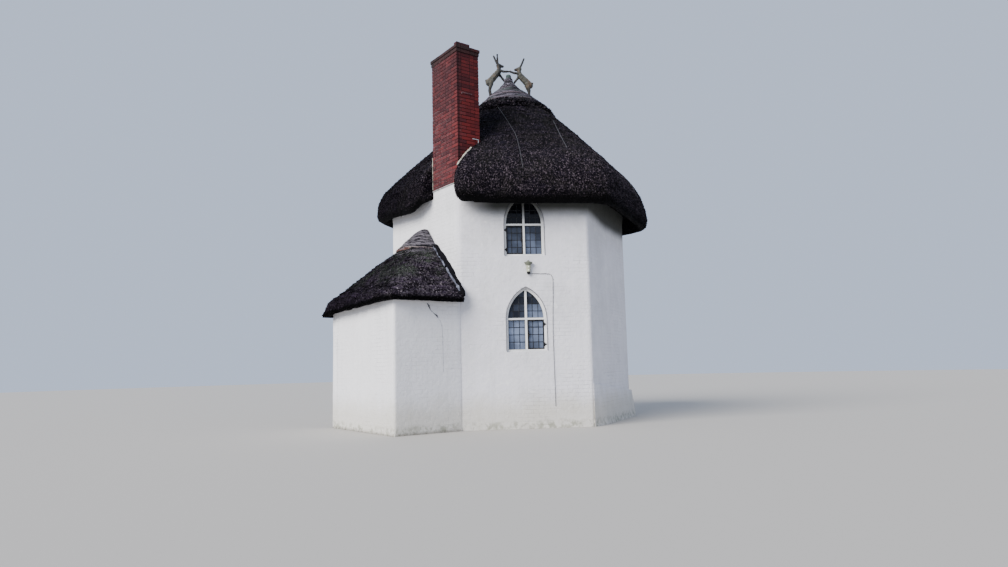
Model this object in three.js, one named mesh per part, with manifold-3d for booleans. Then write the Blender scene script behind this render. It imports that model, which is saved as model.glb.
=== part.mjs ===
// Thatched cottage: a six-sided house of two storeys under one round thatched roof,
// with a brick chimney rising from its left wall and a thatched lean-to against that wall.
// Millimetres, +Z up. The origin is the centre of the plan at ground level, and the
// front wall faces -Y. Every corner of the plan is 120 degrees.

import * as THREE from 'three';
import { mergeVertices } from 'three/addons/utils/BufferGeometryUtils.js';
import Module from 'manifold-3d';

const wasm = await Module();
wasm.setup();

// House walls and floors
const frontLength = 2600;       // the front and back walls
const flankLength = 2900;       // the four slanted walls
const wallThickness = 400;
const wallTop = 4750;
const seam = 0.3;               // gap between pieces that touch
const floorTop = 150;
const upperFloorBottom = 2820;
const upperFloorTop = 2970;

// Battered foot of the right walls
const plinth = { nearTop: 842, farTop: 602, topReach: 28, footReach: 100 };

// Pointed windows, all of one width, in two rows
const windowWidth = 810;
const windowRise = 630;         // springing to apex
const windowRows = { lower: { sill: 1490, spring: 2140 }, upper: { sill: 3390, spring: 4040 } };
const windowReveal = 60;        // wall face to frame face
const frameDepth = 45;
const frameWidth = 46;
const mullionWidth = 40;
const transomHeight = 36;
const casementBar = 24;
const glassThickness = 6;

// Back door
const door = {
  width: 900, sill: floorTop, spring: 1760, rise: 640, thickness: 44, frame: 62, frameDepth: 90,
};
const step = { width: 1240, reach: 320 };
const innerDoorway = { width: 800, height: 1950 };

// Brick chimney, flush with the left wall and starting at the front left corner
const chimney = { length: 1000, depth: 540, brickFoot: 4910, bandFoot: 7650, bandTop: 7800 };
const bandReach = 25;
const flue = { size: 250, first: 325, second: 725 };
const crown = { length: 195, depth: 330, height: 55 };

// Main thatch. Its section is drawn as [radius over the corners of the plan, height]:
// the hollow under it, the flat soffit on the wall head, the drip and the slope.
const eaveRadius = 3250;
const thatchTop = 7225;
const thatchTopRadius = 900;
const thatchShift = { eave: 80, top: 115 };     // the roof sits a little to the right of the walls
const apexShift = 60;
const swell = { height: 14, spacing: 1100 };    // soft hollows and swells of hand-laid thatch
const dripHeight = 4365;
const thatchSection = {
  hollow: [[400, 6950], [2150, 5300], [2150, wallTop]],
  soffit: [[2930, wallTop], [2955, 4600], [3080, dripHeight]],
  drip: [[3250, 4370], [eaveRadius, 4620]],
  brow: [[3245, 5230], [2620, 5672]],
  slope: [[2620, 5672], [1890, 6272], [1210, 6893], [thatchTopRadius, thatchTop]],
};
const leftEave = { from: -700, rise: 0.1 };     // the eave rises towards the left, per unit of run
const thatchEnd = 138;          // the right part ends this far out over the front corner

// The eave also sweeps up behind the chimney: all of it within near, nothing past far,
// and none of it in front of the two given depths
const chimneySweep = { rise: 200, near: 450, far: 1100, back: 2050, front: 2500 };

// Beside the chimney the right part ends in a round shoulder. Its outline is drawn as
// [x, z] in an upright plane at y, and runs from there along a slant towards the front.
const shoulder = {
  y: -2200, slant: [-0.044, -1, -0.272], length: 2100, left: -2600, foot: 4200, head: 6600,
  outline: [
    [-828, 5842], [-932, 5777], [-1017, 5680], [-1101, 5588], [-1185, 5488], [-1258, 5382], [-1311, 5265],
    [-1346, 5128], [-1357, 4981], [-1355, 4845], [-1332, 4741], [-1288, 4647], [-1200, 4564], [-1098, 4531],
  ],
};

// Cap over the peak, drawn like the thatch, with its waist under the tip
const roofCap = {
  radius: 885, top: 8150, lean: 50, brow: [[925, 7235], [880, 7285]],
  slope: [[720, 7455], [560, 7595], [400, 7738]], waist: [145, 7905],
};
const finial = { radius: 48, top: 8245 };

// Lean-to against the left wall
const annex = { reach: 1458, wall: 300, top: 2490, overhang: 200, apexFromFront: 1344, eaveSag: 0.04 };
const annexCap = { foot: 3680, top: 4190, spread: 0.3 };

// Its thatch and cap in section, as [share of the way to the eaves, height]
const annexSoffit = 0.945;      // flat below, out to here
const annexSection = {
  hollow: [[0.04, 3640], [0.62, 2790], [0.66, annex.top], [annexSoffit, annex.top], [0.965, 2460]],
  drip: [[1.0, 2440], [1.0, 2530]],
  brow: [[0.985, 2660], [0.84, 2832]],
  slope: [[0.84, 2832], [0.6, 3236], [annexCap.spread + 0.01, annexCap.foot]],
  capBrow: [[0.33, 3700], [0.27, 3790]],
  capSlope: [[0.17, 4010], [0.06, annexCap.top - 30]],
};

// Lamp over the lower window: a tapered body under a wide hood, drawn as [radius, height],
// on a plate. Its cable runs to the right and down the wall, as [x, z].
const lamp = { x: 60, out: 40, foot: 3014, top: 3304, plateWidth: 56, plateThickness: 20 };
const lampOutline = [
  [0, lamp.foot], [26, lamp.foot], [30, 3060], [34, 3066], [50, 3196],
  [86, 3248], [86, 3258], [42, 3294], [0, lamp.top],
];
const cableRadius = 4.5;
const cableRoute = [
  [90, 3034], [120, 3035], [300, 3033], [440, 3030], [510, 3008], [545, 2940], [551, 2860],
  [545, 2600], [530, 2200], [522, 1800], [524, 1300], [528, 800], [530, 420],
];

const finishes = {
  limewash: { color: 0xe6e3e8, roughness: 0.95 },
  brick: { color: 0x7c3a30, roughness: 0.95 },
  thatch: { color: 0x37302a, roughness: 1.0 },
  reed: { color: 0x5d5a3c, roughness: 1.0 },
  straw: { color: 0xd8d2c0, roughness: 0.9 },
  floor: { color: 0x8d867b, roughness: 0.9 },
  boards: { color: 0x8a6a48, roughness: 0.8 },
  whitePaint: { color: 0xeeeeec, roughness: 0.5 },
  iron: { color: 0x1d1e20, roughness: 0.6, metalness: 0.7 },
  glass: { color: 0x2c3338, roughness: 0.08 },
  doorPaint: { color: 0x3c4a44, roughness: 0.6 },
  lampMetal: { color: 0xd9d9d4, roughness: 0.45, metalness: 0.3 },
  cable: { color: 0x3a3a3c, roughness: 0.6 },
};

const cottage = new THREE.Group();
cottage.name = 'thatched_cottage';

function addPiece(name, geometry, finish) {
  const piece = new THREE.Mesh(geometry, new THREE.MeshStandardMaterial(finishes[finish]));
  piece.name = name;
  cottage.add(piece);
}

// Solids for cutting and joining

function toSolid(geometry) {
  const bare = geometry.clone();
  bare.deleteAttribute('normal');
  bare.deleteAttribute('uv');
  const merged = mergeVertices(bare, 1e-3);
  return new wasm.Manifold(new wasm.Mesh({
    numProp: 3,
    vertProperties: new Float32Array(merged.attributes.position.array),
    triVerts: new Uint32Array(merged.index.array),
  }));
}

function toGeometry(solid) {
  const mesh = solid.getMesh();
  const geometry = new THREE.BufferGeometry();
  geometry.setAttribute('position', new THREE.BufferAttribute(new Float32Array(mesh.vertProperties), 3));
  geometry.setIndex(new THREE.BufferAttribute(new Uint32Array(mesh.triVerts), 1));
  return geometry;
}

function joined(geometries) {
  return geometries.map(toSolid).reduce((whole, next) => whole.add(next));
}

function without(geometry, cutters) {
  return toGeometry(cutters.reduce((rest, cutter) => rest.subtract(toSolid(cutter)), toSolid(geometry)));
}

// Plan of the house

const halfDepth = flankLength * Math.sin(Math.PI / 3);
const halfFront = frontLength / 2;
const corners = [
  new THREE.Vector2(-halfFront, -halfDepth),
  new THREE.Vector2(halfFront, -halfDepth),
  new THREE.Vector2(halfFront + flankLength / 2, 0),
  new THREE.Vector2(halfFront, halfDepth),
  new THREE.Vector2(-halfFront, halfDepth),
  new THREE.Vector2(-halfFront - flankLength / 2, 0),
];
const wallNames = ['front', 'right', 'back_right', 'back', 'back_left', 'left'];
const leftWall = 5;
const mitre = Math.tan(Math.PI / 6);    // inner end of a wall, per unit of thickness

function wallLength(index) {
  return corners[index].distanceTo(corners[(index + 1) % 6]);
}

// A wall's own frame: x along the wall seen from outside, y up, z outwards,
// from the middle of its outer face at the ground.
function wallFrame(index) {
  const start = corners[index];
  const end = corners[(index + 1) % 6];
  const along = new THREE.Vector3(end.x - start.x, end.y - start.y, 0).normalize();
  const up = new THREE.Vector3(0, 0, 1);
  const out = new THREE.Vector3().crossVectors(along, up);
  const frame = new THREE.Matrix4().makeBasis(along, up, out);
  return frame.setPosition((start.x + end.x) / 2, (start.y + end.y) / 2, 0);
}

// A prism of a shape drawn in elevation on a wall
function onWall(index, shape, inner, outer, segments = 6) {
  const geometry = new THREE.ExtrudeGeometry(shape, {
    depth: outer - inner, bevelEnabled: false, curveSegments: segments,
  });
  geometry.translate(0, 0, inner);
  return geometry.applyMatrix4(wallFrame(index));
}

// A prism of a plan drawn beside a wall, as points of [along, outwards]
function besideWall(index, points, bottom, top) {
  const frame = wallFrame(index);
  const plan = points.map(([along, outwards]) => {
    const point = new THREE.Vector3(along, 0, outwards).applyMatrix4(frame);
    return new THREE.Vector2(point.x, point.y);
  });
  return upright(new THREE.Shape(plan), bottom, top);
}

function upright(shape, bottom, top) {
  const geometry = new THREE.ExtrudeGeometry(shape, { depth: top - bottom, bevelEnabled: false });
  return geometry.translate(0, 0, bottom);
}

function rectangle(left, bottom, right, top) {
  return new THREE.Shape([
    new THREE.Vector2(left, bottom), new THREE.Vector2(right, bottom),
    new THREE.Vector2(right, top), new THREE.Vector2(left, top),
  ]);
}

function planRectangle(left, right, inner, outer) {
  return [[left, inner], [right, inner], [right, outer], [left, outer]];
}

// The six-sided plan at a distance inside the outer faces
function insetPlan(inset) {
  const cornerInset = inset / Math.cos(Math.PI / 6);
  return corners.map((corner, index) => {
    const before = corners[(index + 5) % 6].clone().sub(corner).normalize();
    const after = corners[(index + 1) % 6].clone().sub(corner).normalize();
    return corner.clone().addScaledVector(before.add(after).normalize(), cornerInset);
  });
}

// Pointed openings

// The outline of a pointed opening, drawn inset from its edge
function pointedArch({ width, sill, spring, rise }, inset) {
  const half = width / 2;
  const radius = (half * half + rise * rise) / width;
  const centre = radius - half;
  const apexAngle = Math.acos(centre / (radius - inset));
  const shape = new THREE.Shape();
  shape.moveTo(-half + inset, sill + inset);
  shape.lineTo(half - inset, sill + inset);
  shape.absarc(-centre, spring, radius - inset, 0, apexAngle, false);
  shape.absarc(centre, spring, radius - inset, Math.PI - apexAngle, Math.PI, false);
  shape.closePath();
  return shape;
}

function windowOpening(row) {
  return { width: windowWidth, rise: windowRise, ...windowRows[row] };
}

// Windows by wall and row; casement tells which lower light opens on iron
const windows = [
  { wall: 0, row: 'lower', casement: 'right' },
  { wall: 0, row: 'upper', casement: 'left' },
  { wall: 2, row: 'lower' },
  { wall: 2, row: 'upper' },
  { wall: 4, row: 'lower' },
  { wall: 4, row: 'upper' },
];

function windowFrame({ wall, row }) {
  const opening = windowOpening(row);
  const face = -windowReveal;
  const back = face - frameDepth;
  const panel = toSolid(onWall(wall, pointedArch(opening, seam), back, face));
  const light = toSolid(onWall(wall, pointedArch(opening, frameWidth), back - 10, face + 10));
  const mullion = rectangle(-mullionWidth / 2, opening.sill, mullionWidth / 2, opening.spring + opening.rise);
  const transom = rectangle(-opening.width / 2, opening.spring - transomHeight / 2,
    opening.width / 2, opening.spring + transomHeight / 2);
  const bars = toSolid(onWall(wall, mullion, back, face)).add(toSolid(onWall(wall, transom, back, face)));
  return toGeometry(panel.subtract(light.subtract(bars)));
}

function windowGlass({ wall, row }) {
  const front = -windowReveal - frameDepth - seam;
  return onWall(wall, pointedArch(windowOpening(row), frameWidth / 2), front - glassThickness, front);
}

// The iron frame of the opening light, set in the timber frame
function windowCasement({ wall, row, casement }) {
  const opening = windowOpening(row);
  const inner = mullionWidth / 2 + seam;
  const outer = windowWidth / 2 - frameWidth - seam;
  const bottom = opening.sill + frameWidth + seam;
  const top = opening.spring - transomHeight / 2 - seam;
  const [left, right] = casement === 'right' ? [inner, outer] : [-outer, -inner];
  const shape = rectangle(left, bottom, right, top);
  const bar = casementBar;
  shape.holes.push(rectangle(left + bar, bottom + bar, right - bar, top - bar));
  return onWall(wall, shape, -windowReveal - frameDepth + 2, -windowReveal - 8);
}

function addWindows() {
  for (const window of windows) {
    const label = `${wallNames[window.wall]}_${window.row}`;
    addPiece(`window_frame_${label}`, windowFrame(window), 'whitePaint');
    addPiece(`window_glass_${label}`, windowGlass(window), 'glass');
    if (window.casement) {
      addPiece(`window_casement_${label}`, windowCasement(window), 'iron');
    }
  }
}

// Walls, floors and door

function wallCutters(index) {
  const through = [-wallThickness - 10, 10];
  const cutters = windows.filter((window) => window.wall === index)
    .map((window) => onWall(index, pointedArch(windowOpening(window.row), 0), ...through));
  if (wallNames[index] === 'back') {
    cutters.push(onWall(index, pointedArch(door, 0), ...through));
  }
  if (index === leftWall) {
    const half = innerDoorway.width / 2;
    cutters.push(onWall(index, rectangle(-half, floorTop, half, floorTop + innerDoorway.height), ...through));
  }
  return cutters;
}

function wall(index) {
  const half = wallLength(index) / 2 - seam / 2;
  const inner = half - wallThickness * mitre;
  const plan = [[-half, 0], [-inner, -wallThickness], [inner, -wallThickness], [half, 0]];
  const cutters = wallCutters(index);
  const solid = besideWall(index, plan, 0, wallTop);
  return cutters.length ? without(solid, cutters) : solid;
}

function addWalls() {
  wallNames.forEach((name, index) => addPiece(`wall_${name}`, wall(index), 'limewash'));
}

// Sloping foot of a wall: its top may fall from one end to the other
function wallFoot(index, startTop, endTop, startMitre, endMitre) {
  const geometry = new THREE.BoxGeometry(1, 1, 1);
  const place = geometry.attributes.position;
  const half = wallLength(index) / 2 - seam / 2;
  for (let i = 0; i < place.count; i += 1) {
    const atEnd = place.getX(i) > 0;
    const atTop = place.getY(i) > 0;
    const reach = atTop ? plinth.topReach : plinth.footReach;
    const out = place.getZ(i) > 0 ? reach : seam;
    const spread = (atEnd ? endMitre : startMitre) * out * mitre;
    const height = atTop ? (atEnd ? endTop : startTop) : 0;
    place.setXYZ(i, atEnd ? half + spread : -half - spread, height, out);
  }
  return geometry.applyMatrix4(wallFrame(index));
}

function addPlinths() {
  addPiece('plinth_right', wallFoot(1, plinth.nearTop, plinth.farTop, 0, 1), 'limewash');
  addPiece('plinth_back_right', wallFoot(2, plinth.farTop, plinth.farTop, 1, 0), 'limewash');
}

// Masonry inside the corner that carries the chimney's inner half
function chimneyBreastPlan(grow) {
  const front = flankLength / 2 - 2 * seam + grow;
  const back = flankLength / 2 - chimney.length - grow;
  const face = -wallThickness - seam + grow;
  const inner = -chimney.depth - grow;
  const innerFront = front - (2 * wallThickness - chimney.depth) * mitre;    // clear of the front wall
  return [[back, inner], [innerFront, inner], [front - wallThickness * mitre, face], [back, face]];
}

function addFloors() {
  const inside = new THREE.Shape(insetPlan(wallThickness + seam));
  addPiece('ground_floor', upright(inside, 0, floorTop), 'floor');
  const boards = upright(inside, upperFloorBottom, upperFloorTop);
  const breast = besideWall(leftWall, chimneyBreastPlan(seam), upperFloorBottom - 10, upperFloorTop + 10);
  addPiece('upper_floor', without(boards, [breast]), 'boards');
}

function addDoor() {
  const back = wallNames.indexOf('back');
  const face = -windowReveal;
  const surround = pointedArch({ ...door, sill: door.sill - seam }, seam);
  const frame = onWall(back, surround, face - door.frameDepth, face);
  const hole = onWall(back, pointedArch({ ...door, sill: -door.frame }, door.frame),
    face - door.frameDepth - 10, face + 10);
  addPiece('door_frame', without(frame, [hole]), 'whitePaint');
  const leafOutline = pointedArch({ ...door, sill: door.sill - door.frame }, door.frame + seam);
  const leafFace = face - 20;
  addPiece('back_door', onWall(back, leafOutline, leafFace - door.thickness, leafFace), 'doorPaint');
  const tread = planRectangle(-step.width / 2, step.width / 2, seam, step.reach);
  addPiece('door_step', besideWall(back, tread, 0, floorTop), 'floor');
}

// Chimney

function chimneyPlan(grow) {
  const front = flankLength / 2;
  return planRectangle(front - chimney.length - grow, front + grow, -chimney.depth - grow, grow);
}

// Both flues, cut right through a piece of the chimney
function flueCutters(foot, head) {
  const [bottom, top] = [foot - 10, head + 10];
  const middle = -chimney.depth / 2;
  return [flue.first, flue.second].map((fromFront) => {
    const centre = flankLength / 2 - fromFront;
    const half = flue.size / 2;
    return besideWall(leftWall, planRectangle(centre - half, centre + half, middle - half, middle + half),
      bottom, top);
  });
}

function addChimney() {
  addPiece('chimney_breast', besideWall(leftWall, chimneyBreastPlan(0), floorTop, wallTop), 'limewash');
  addPiece('chimney_base', besideWall(leftWall, chimneyPlan(0), wallTop, chimney.brickFoot), 'limewash');
  const { brickFoot, bandFoot, bandTop } = chimney;
  const stack = besideWall(leftWall, chimneyPlan(0), brickFoot, bandFoot);
  addPiece('chimney_stack', without(stack, flueCutters(brickFoot, bandFoot)), 'brick');
  const band = besideWall(leftWall, chimneyPlan(bandReach), bandFoot, bandTop);
  addPiece('chimney_band', without(band, flueCutters(bandFoot, bandTop)), 'brick');
  const front = flankLength / 2;
  const raised = planRectangle(front - crown.length, front, -crown.depth, 0);
  addPiece('chimney_crown', besideWall(leftWall, raised, bandTop, bandTop + crown.height), 'brick');
}

// Thatch

// Distance from the axis to a rounded outline of straight sides, in a direction.
// A high sharpness keeps the corners tight, a low one makes the outline round.
function roundedReach(angle, sides, sharpness) {
  const sum = sides.reduce((total, side) => {
    const lean = Math.cos(angle - side.angle);
    return lean > 0 ? total + (lean / side.distance) ** sharpness : total;
  }, 0);
  return sum ** (-1 / sharpness);
}

// A turned solid whose round plan is pushed out to another outline
function turned(profile, segments, reshape) {
  const geometry = new THREE.LatheGeometry(profile, segments);
  geometry.rotateX(Math.PI / 2);
  const place = geometry.attributes.position;
  for (let i = 0; i < place.count; i += 1) {
    const point = new THREE.Vector3().fromBufferAttribute(place, i);
    const radius = Math.hypot(point.x, point.y);
    if (radius > 1e-6) {
      reshape(point, radius, Math.atan2(point.y, point.x));
    }
    place.setXYZ(i, point.x, point.y, point.z);
  }
  return geometry;
}

// How far the thatch swells outwards, for a roof of some eave radius
function thatchSwell(eave, angle, height) {
  const waves = Math.round((2 * Math.PI * eave) / swell.spacing);
  const level = (2 * Math.PI * height) / swell.spacing;
  const fine = Math.sin(waves * angle + 1.6 * Math.sin(level));
  const broad = Math.sin(Math.round(waves * 0.4) * angle - 0.7 * level);
  return swell.height * (0.6 * fine + 0.4 * broad);
}

// How far the eave is lifted at a point: all at the drip, nothing at the wall head
function eaveLift(point, radius) {
  const run = Math.max(0, leftEave.from - point.x);
  const along = (flankLength - chimney.length) / 2;
  const middle = new THREE.Vector3(along, 0, 0).applyMatrix4(wallFrame(leftWall));
  const away = Math.hypot(point.x - middle.x, point.y - middle.y);
  const behind = 1 - THREE.MathUtils.smoothstep(-point.y, chimneySweep.back, chimneySweep.front);
  const sweep = behind * (1 - THREE.MathUtils.smoothstep(away, chimneySweep.near, chimneySweep.far));
  const [soffitEnd] = thatchSection.soffit.at(-1);
  const [, slopeFoot] = thatchSection.slope[0];
  const head = radius > soffitEnd - 30 ? slopeFoot : wallTop;
  const share = (head - point.z) / (head - dripHeight);
  return (leftEave.rise * run + chimneySweep.rise * sweep) * Math.min(1, Math.max(0, share));
}

// Eaves over some walls stand further out or in than the rest, as a share
const eaveReach = { front: 0.046, back: 0.046, left: -0.035 };
const mainSharpness = { top: 4, eave: 30 };

// The main roof is six-sided at the eaves and round at the top
function mainRoofShape(point, radius, angle) {
  const low = Math.min(1, radius / eaveRadius) ** 4;
  const sharpness = THREE.MathUtils.lerp(mainSharpness.top, mainSharpness.eave, low);
  const apothem = radius * Math.cos(Math.PI / 6) * 2 ** (1 / sharpness);
  const sides = wallNames.map((name, index) => ({
    angle: (index / 3 - 0.5) * Math.PI,
    distance: apothem * (1 + (eaveReach[name] ?? 0) * low),
  }));
  const reach = roundedReach(angle, sides, sharpness);
  const puffed = reach + thatchSwell(eaveRadius, angle, point.z);
  point.x = puffed * Math.cos(angle) + THREE.MathUtils.lerp(thatchShift.top, thatchShift.eave, low);
  point.y = puffed * Math.sin(angle);
  point.z += eaveLift(point, radius);
}

// A profile for turning: straight through some points, then along curves that are each
// given by their control point and end, and then along an even slope
function section(points, curves, slope, top) {
  const path = new THREE.Path(points.map(([x, z]) => new THREE.Vector2(x, z)));
  for (const [[controlX, controlZ], [x, z]] of curves) {
    path.quadraticCurveTo(controlX, controlZ, x, z);
  }
  const spline = new THREE.SplineCurve(slope.points.map(([x, z]) => new THREE.Vector2(x, z)));
  return [...path.getPoints(6), ...spline.getPoints(slope.steps).slice(1), new THREE.Vector2(0, top)];
}

function mainThatchProfile() {
  const { hollow, soffit, drip, brow, slope } = thatchSection;
  const inside = [[0, hollow[0][1]], ...hollow, ...soffit];
  return section(inside, [drip, brow], { points: slope, steps: 11 }, thatchTop);
}

// What lies outside the round shoulder
function aroundShoulder() {
  const { y, slant, length, left, foot, head, outline } = shoulder;
  const ends = [[outline.at(-1)[0], foot], [left, foot], [left, head], [outline[0][0], head]];
  const shape = new THREE.Shape([...outline, ...ends].map(([x, z]) => new THREE.Vector2(x, z)));
  const prism = new THREE.ExtrudeGeometry(shape, { depth: length, bevelEnabled: false });
  const frame = new THREE.Matrix4().makeBasis(
    new THREE.Vector3(1, 0, 0), new THREE.Vector3(0, 0, 1), new THREE.Vector3(...slant),
  );
  return prism.applyMatrix4(frame.setPosition(0, y, 0));
}

function addMainThatch() {
  const roof = turned(mainThatchProfile(), 78, mainRoofShape);
  const front = flankLength / 2;
  const [bottom, top, clear] = [dripHeight - 1000, thatchTop + 1000, 1500];
  const slot = planRectangle(front - chimney.length - seam, front + seam, -chimney.depth - seam, clear);
  const wedge = [[front, thatchEnd], [front, clear], [front + (clear - thatchEnd) / mitre, clear]];
  const cutters = [slot, wedge].map((plan) => besideWall(leftWall, plan, bottom, top));
  addPiece('main_thatch', without(roof, [...cutters, aroundShoulder()]), 'thatch');
}

// The cap over the peak sweeps up to its tip
function roofCapProfile(grow) {
  const { radius, top, brow, slope, waist } = roofCap;
  const [[browX, browZ], [browEndX, browEndZ]] = brow;
  const profile = new THREE.Path();
  profile.moveTo(0, thatchTop);
  profile.lineTo(radius + grow, thatchTop);
  profile.quadraticCurveTo(browX + grow, browZ, browEndX + grow, browEndZ + grow);
  for (const [x, z] of slope) {
    profile.lineTo(x + grow, z + grow);
  }
  profile.quadraticCurveTo(waist[0] + grow, waist[1] + grow, finial.radius + 8 + grow, top);
  profile.lineTo(0, top);
  return profile.getPoints(4);
}

// The cap leans with the roof: its foot stands further right than its tip
function turnedCap(grow) {
  const cap = turned(roofCapProfile(grow), 36, (point, radius) => {
    point.x += roofCap.lean * (radius / roofCap.radius) ** 2;
  });
  return cap.translate(apexShift, 0, 0);
}

function addRoofCap() {
  addPiece('main_thatch_cap', turnedCap(0), 'reed');
  const tip = new THREE.Path();
  tip.moveTo(0, roofCap.top);
  tip.lineTo(finial.radius, roofCap.top);
  tip.quadraticCurveTo(finial.radius, finial.top - 20, 0, finial.top);
  const turnedTip = turned(tip.getPoints(3), 12, () => {});
  addPiece('finial_tip', turnedTip.translate(apexShift, 0, 0), 'reed');
}

// Straw hares

// A limb with round ends, between two points of its own radii
function limb(start, end, startRadius, endRadius) {
  const from = new THREE.Vector3(...start);
  const axis = new THREE.Vector3(...end).sub(from);
  const length = axis.length();
  const outline = new THREE.Path();
  outline.moveTo(0, -startRadius);
  outline.absarc(0, 0, startRadius, -Math.PI / 2, 0, false);
  outline.lineTo(endRadius, length);
  outline.absarc(0, length, endRadius, 0, Math.PI / 2, false);
  const points = outline.getPoints(2);
  points[0].x = 0;
  points[points.length - 1].x = 0;
  const geometry = new THREE.LatheGeometry(points, 7);
  const turn = new THREE.Quaternion().setFromUnitVectors(new THREE.Vector3(0, 1, 0), axis.normalize());
  geometry.applyQuaternion(turn);
  return geometry.translate(from.x, from.y, from.z);
}

// A hare's joints, seen from the side: x forwards from its hind foot, z up
const hareJoints = {
  toe: [70, 20], heel: [-30, 40], hock: [-45, 170], hip: [0, 340], rump: [-55, 330],
  tail: [-120, 372], waist: [60, 450], chest: [170, 570], shoulder: [185, 612], neck: [195, 655],
  crown: [185, 730], nose: [285, 712], earRoot: [165, 760], earTip: [70, 975],
  lowElbow: [250, 480], lowerPaw: [330, 372],
};

// Limbs between joints, with their radii, and for the pairs how far they stand apart
const hareBody = [
  ['rump', 'waist', 82, 74], ['waist', 'chest', 74, 66], ['chest', 'neck', 64, 42],
  ['neck', 'crown', 42, 48], ['crown', 'nose', 50, 24], ['rump', 'tail', 30, 26],
];
const harePairs = [
  ['hip', 'hock', 56, 24, 46, 55], ['hock', 'heel', 24, 20, 55, 55],
  ['heel', 'toe', 22, 20, 55, 55], ['earRoot', 'earTip', 20, 12, 20, 44],
];
const hareArm = { shoulder: 32, elbow: 21, lowerElbow: 22, lowerPaw: 18, apart: 30, elbowApart: 41, sag: 22 };
const pawsMeet = { x: 80, z: 8318, radius: 18 };
const hares = {
  hare_left: { x: -360, z: 7687, facing: 1, tall: 1.08 },
  hare_right: { x: 515, z: 7660, facing: -1, tall: 1.01 },
};

// A hare on its hind legs, one arm up to the other's paw; facing is 1 to the right, -1 to the left
function hare({ x: footX, z: footZ, facing, tall }) {
  const at = (name, side = 0) => {
    const [x, z] = hareJoints[name];
    return [footX + facing * x, side, footZ + z * tall];
  };
  const parts = hareBody.map(([start, end, from, to]) => limb(at(start), at(end), from, to));
  for (const side of [-1, 1]) {
    for (const [start, end, from, to, startApart, endApart] of harePairs) {
      parts.push(limb(at(start, side * startApart), at(end, side * endApart), from, to));
    }
  }
  const shoulder = at('shoulder', -hareArm.apart);
  const paw = [pawsMeet.x - facing * (pawsMeet.radius + seam), -hareArm.apart, pawsMeet.z];
  const elbow = [
    (shoulder[0] + paw[0]) / 2, -hareArm.elbowApart, (shoulder[2] + paw[2]) / 2 - hareArm.sag,
  ];
  const lowElbow = at('lowElbow', hareArm.elbowApart);
  parts.push(limb(shoulder, elbow, hareArm.shoulder, hareArm.elbow));
  parts.push(limb(elbow, paw, hareArm.elbow, pawsMeet.radius));
  parts.push(limb(at('chest', hareArm.apart), lowElbow, hareArm.shoulder, hareArm.lowerElbow));
  parts.push(limb(lowElbow, at('lowerPaw', hareArm.apart), hareArm.lowerElbow, hareArm.lowerPaw));
  return joined(parts);
}

// Each hare stands on the cap and meets the other at the paws
function addHares() {
  const cap = toSolid(turnedCap(seam));
  for (const [name, stance] of Object.entries(hares)) {
    addPiece(name, toGeometry(hare(stance).subtract(cap)), 'straw');
  }
}

// Lean-to

function addAnnexWalls() {
  const half = flankLength / 2;
  const inner = half - annex.wall;
  const outer = annex.reach;
  const wallPlans = {
    annex_wall_front: planRectangle(inner, half, seam, outer),
    annex_wall_outer: planRectangle(-inner + seam, inner - seam, outer - annex.wall, outer),
    annex_wall_rear: planRectangle(-half, -inner, seam, outer),
  };
  for (const [name, plan] of Object.entries(wallPlans)) {
    addPiece(name, besideWall(leftWall, plan, 0, annex.top), 'limewash');
  }
  const room = planRectangle(-inner + seam, inner - seam, seam, outer - annex.wall - seam);
  addPiece('annex_floor', besideWall(leftWall, room, 0, floorTop), 'floor');
}

const annexApexAlong = flankLength / 2 - annex.apexFromFront;
const annexSharpness = { top: 3.5, eave: 21.5 };

// The lean-to's roof is a half pyramid with round corners, about the axis through its
// apex on the wall. Its outline is drawn with 1 at the eaves, and its far eave sags.
function annexRoofShape(scale) {
  const frame = wallFrame(leftWall);
  const front = flankLength / 2 + annex.overhang - annexApexAlong;
  const rear = flankLength / 2 + annex.overhang + annexApexAlong;
  const out = annex.reach + annex.overhang;
  return (point, radius, angle) => {
    const share = radius / scale;
    const sharpness = THREE.MathUtils.lerp(annexSharpness.top, annexSharpness.eave, share ** 2);
    const sides = [
      { angle: 0, distance: rear * share }, { angle: Math.PI / 2, distance: out * share },
      { angle: Math.PI, distance: front * share }, { angle: -Math.PI / 2, distance: out * share },
    ];
    const reach = roundedReach(angle, sides, sharpness);
    const puffed = reach + share * thatchSwell(scale, angle, point.z);
    const along = annexApexAlong - puffed * Math.cos(angle);
    const outwards = puffed * Math.sin(angle);
    const fromFront = Math.max(0, flankLength / 2 - along);
    const sag = share > annexSoffit + 0.01 ? annex.eaveSag * fromFront : 0;
    const placed = new THREE.Vector3(along, 0, outwards).applyMatrix4(frame);
    point.set(placed.x, placed.y, point.z - sag);
  };
}

// Anything behind the face of the left wall
function behindLeftWall() {
  return besideWall(leftWall, planRectangle(-4000, 4000, -4000, seam), -1000, 6000);
}

// Points of a section as radii
function scaled(points, scale) {
  return points.map(([share, z]) => [share * scale, z]);
}

function annexThatchProfile(scale) {
  const [hollow, drip, brow, slope] = ['hollow', 'drip', 'brow', 'slope']
    .map((name) => scaled(annexSection[name], scale));
  const inside = [[0, hollow[0][1]], ...hollow];
  return section(inside, [drip, brow], { points: slope, steps: 8 }, annexCap.foot);
}

function annexCapProfile(scale) {
  const profile = new THREE.Path();
  profile.moveTo(0, annexCap.foot);
  profile.lineTo(annexCap.spread * scale, annexCap.foot);
  for (const name of ['capBrow', 'capSlope']) {
    const [control, end] = scaled(annexSection[name], scale);
    profile.quadraticCurveTo(...control, ...end);
  }
  profile.lineTo(0, annexCap.top);
  return profile.getPoints(4);
}

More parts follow.
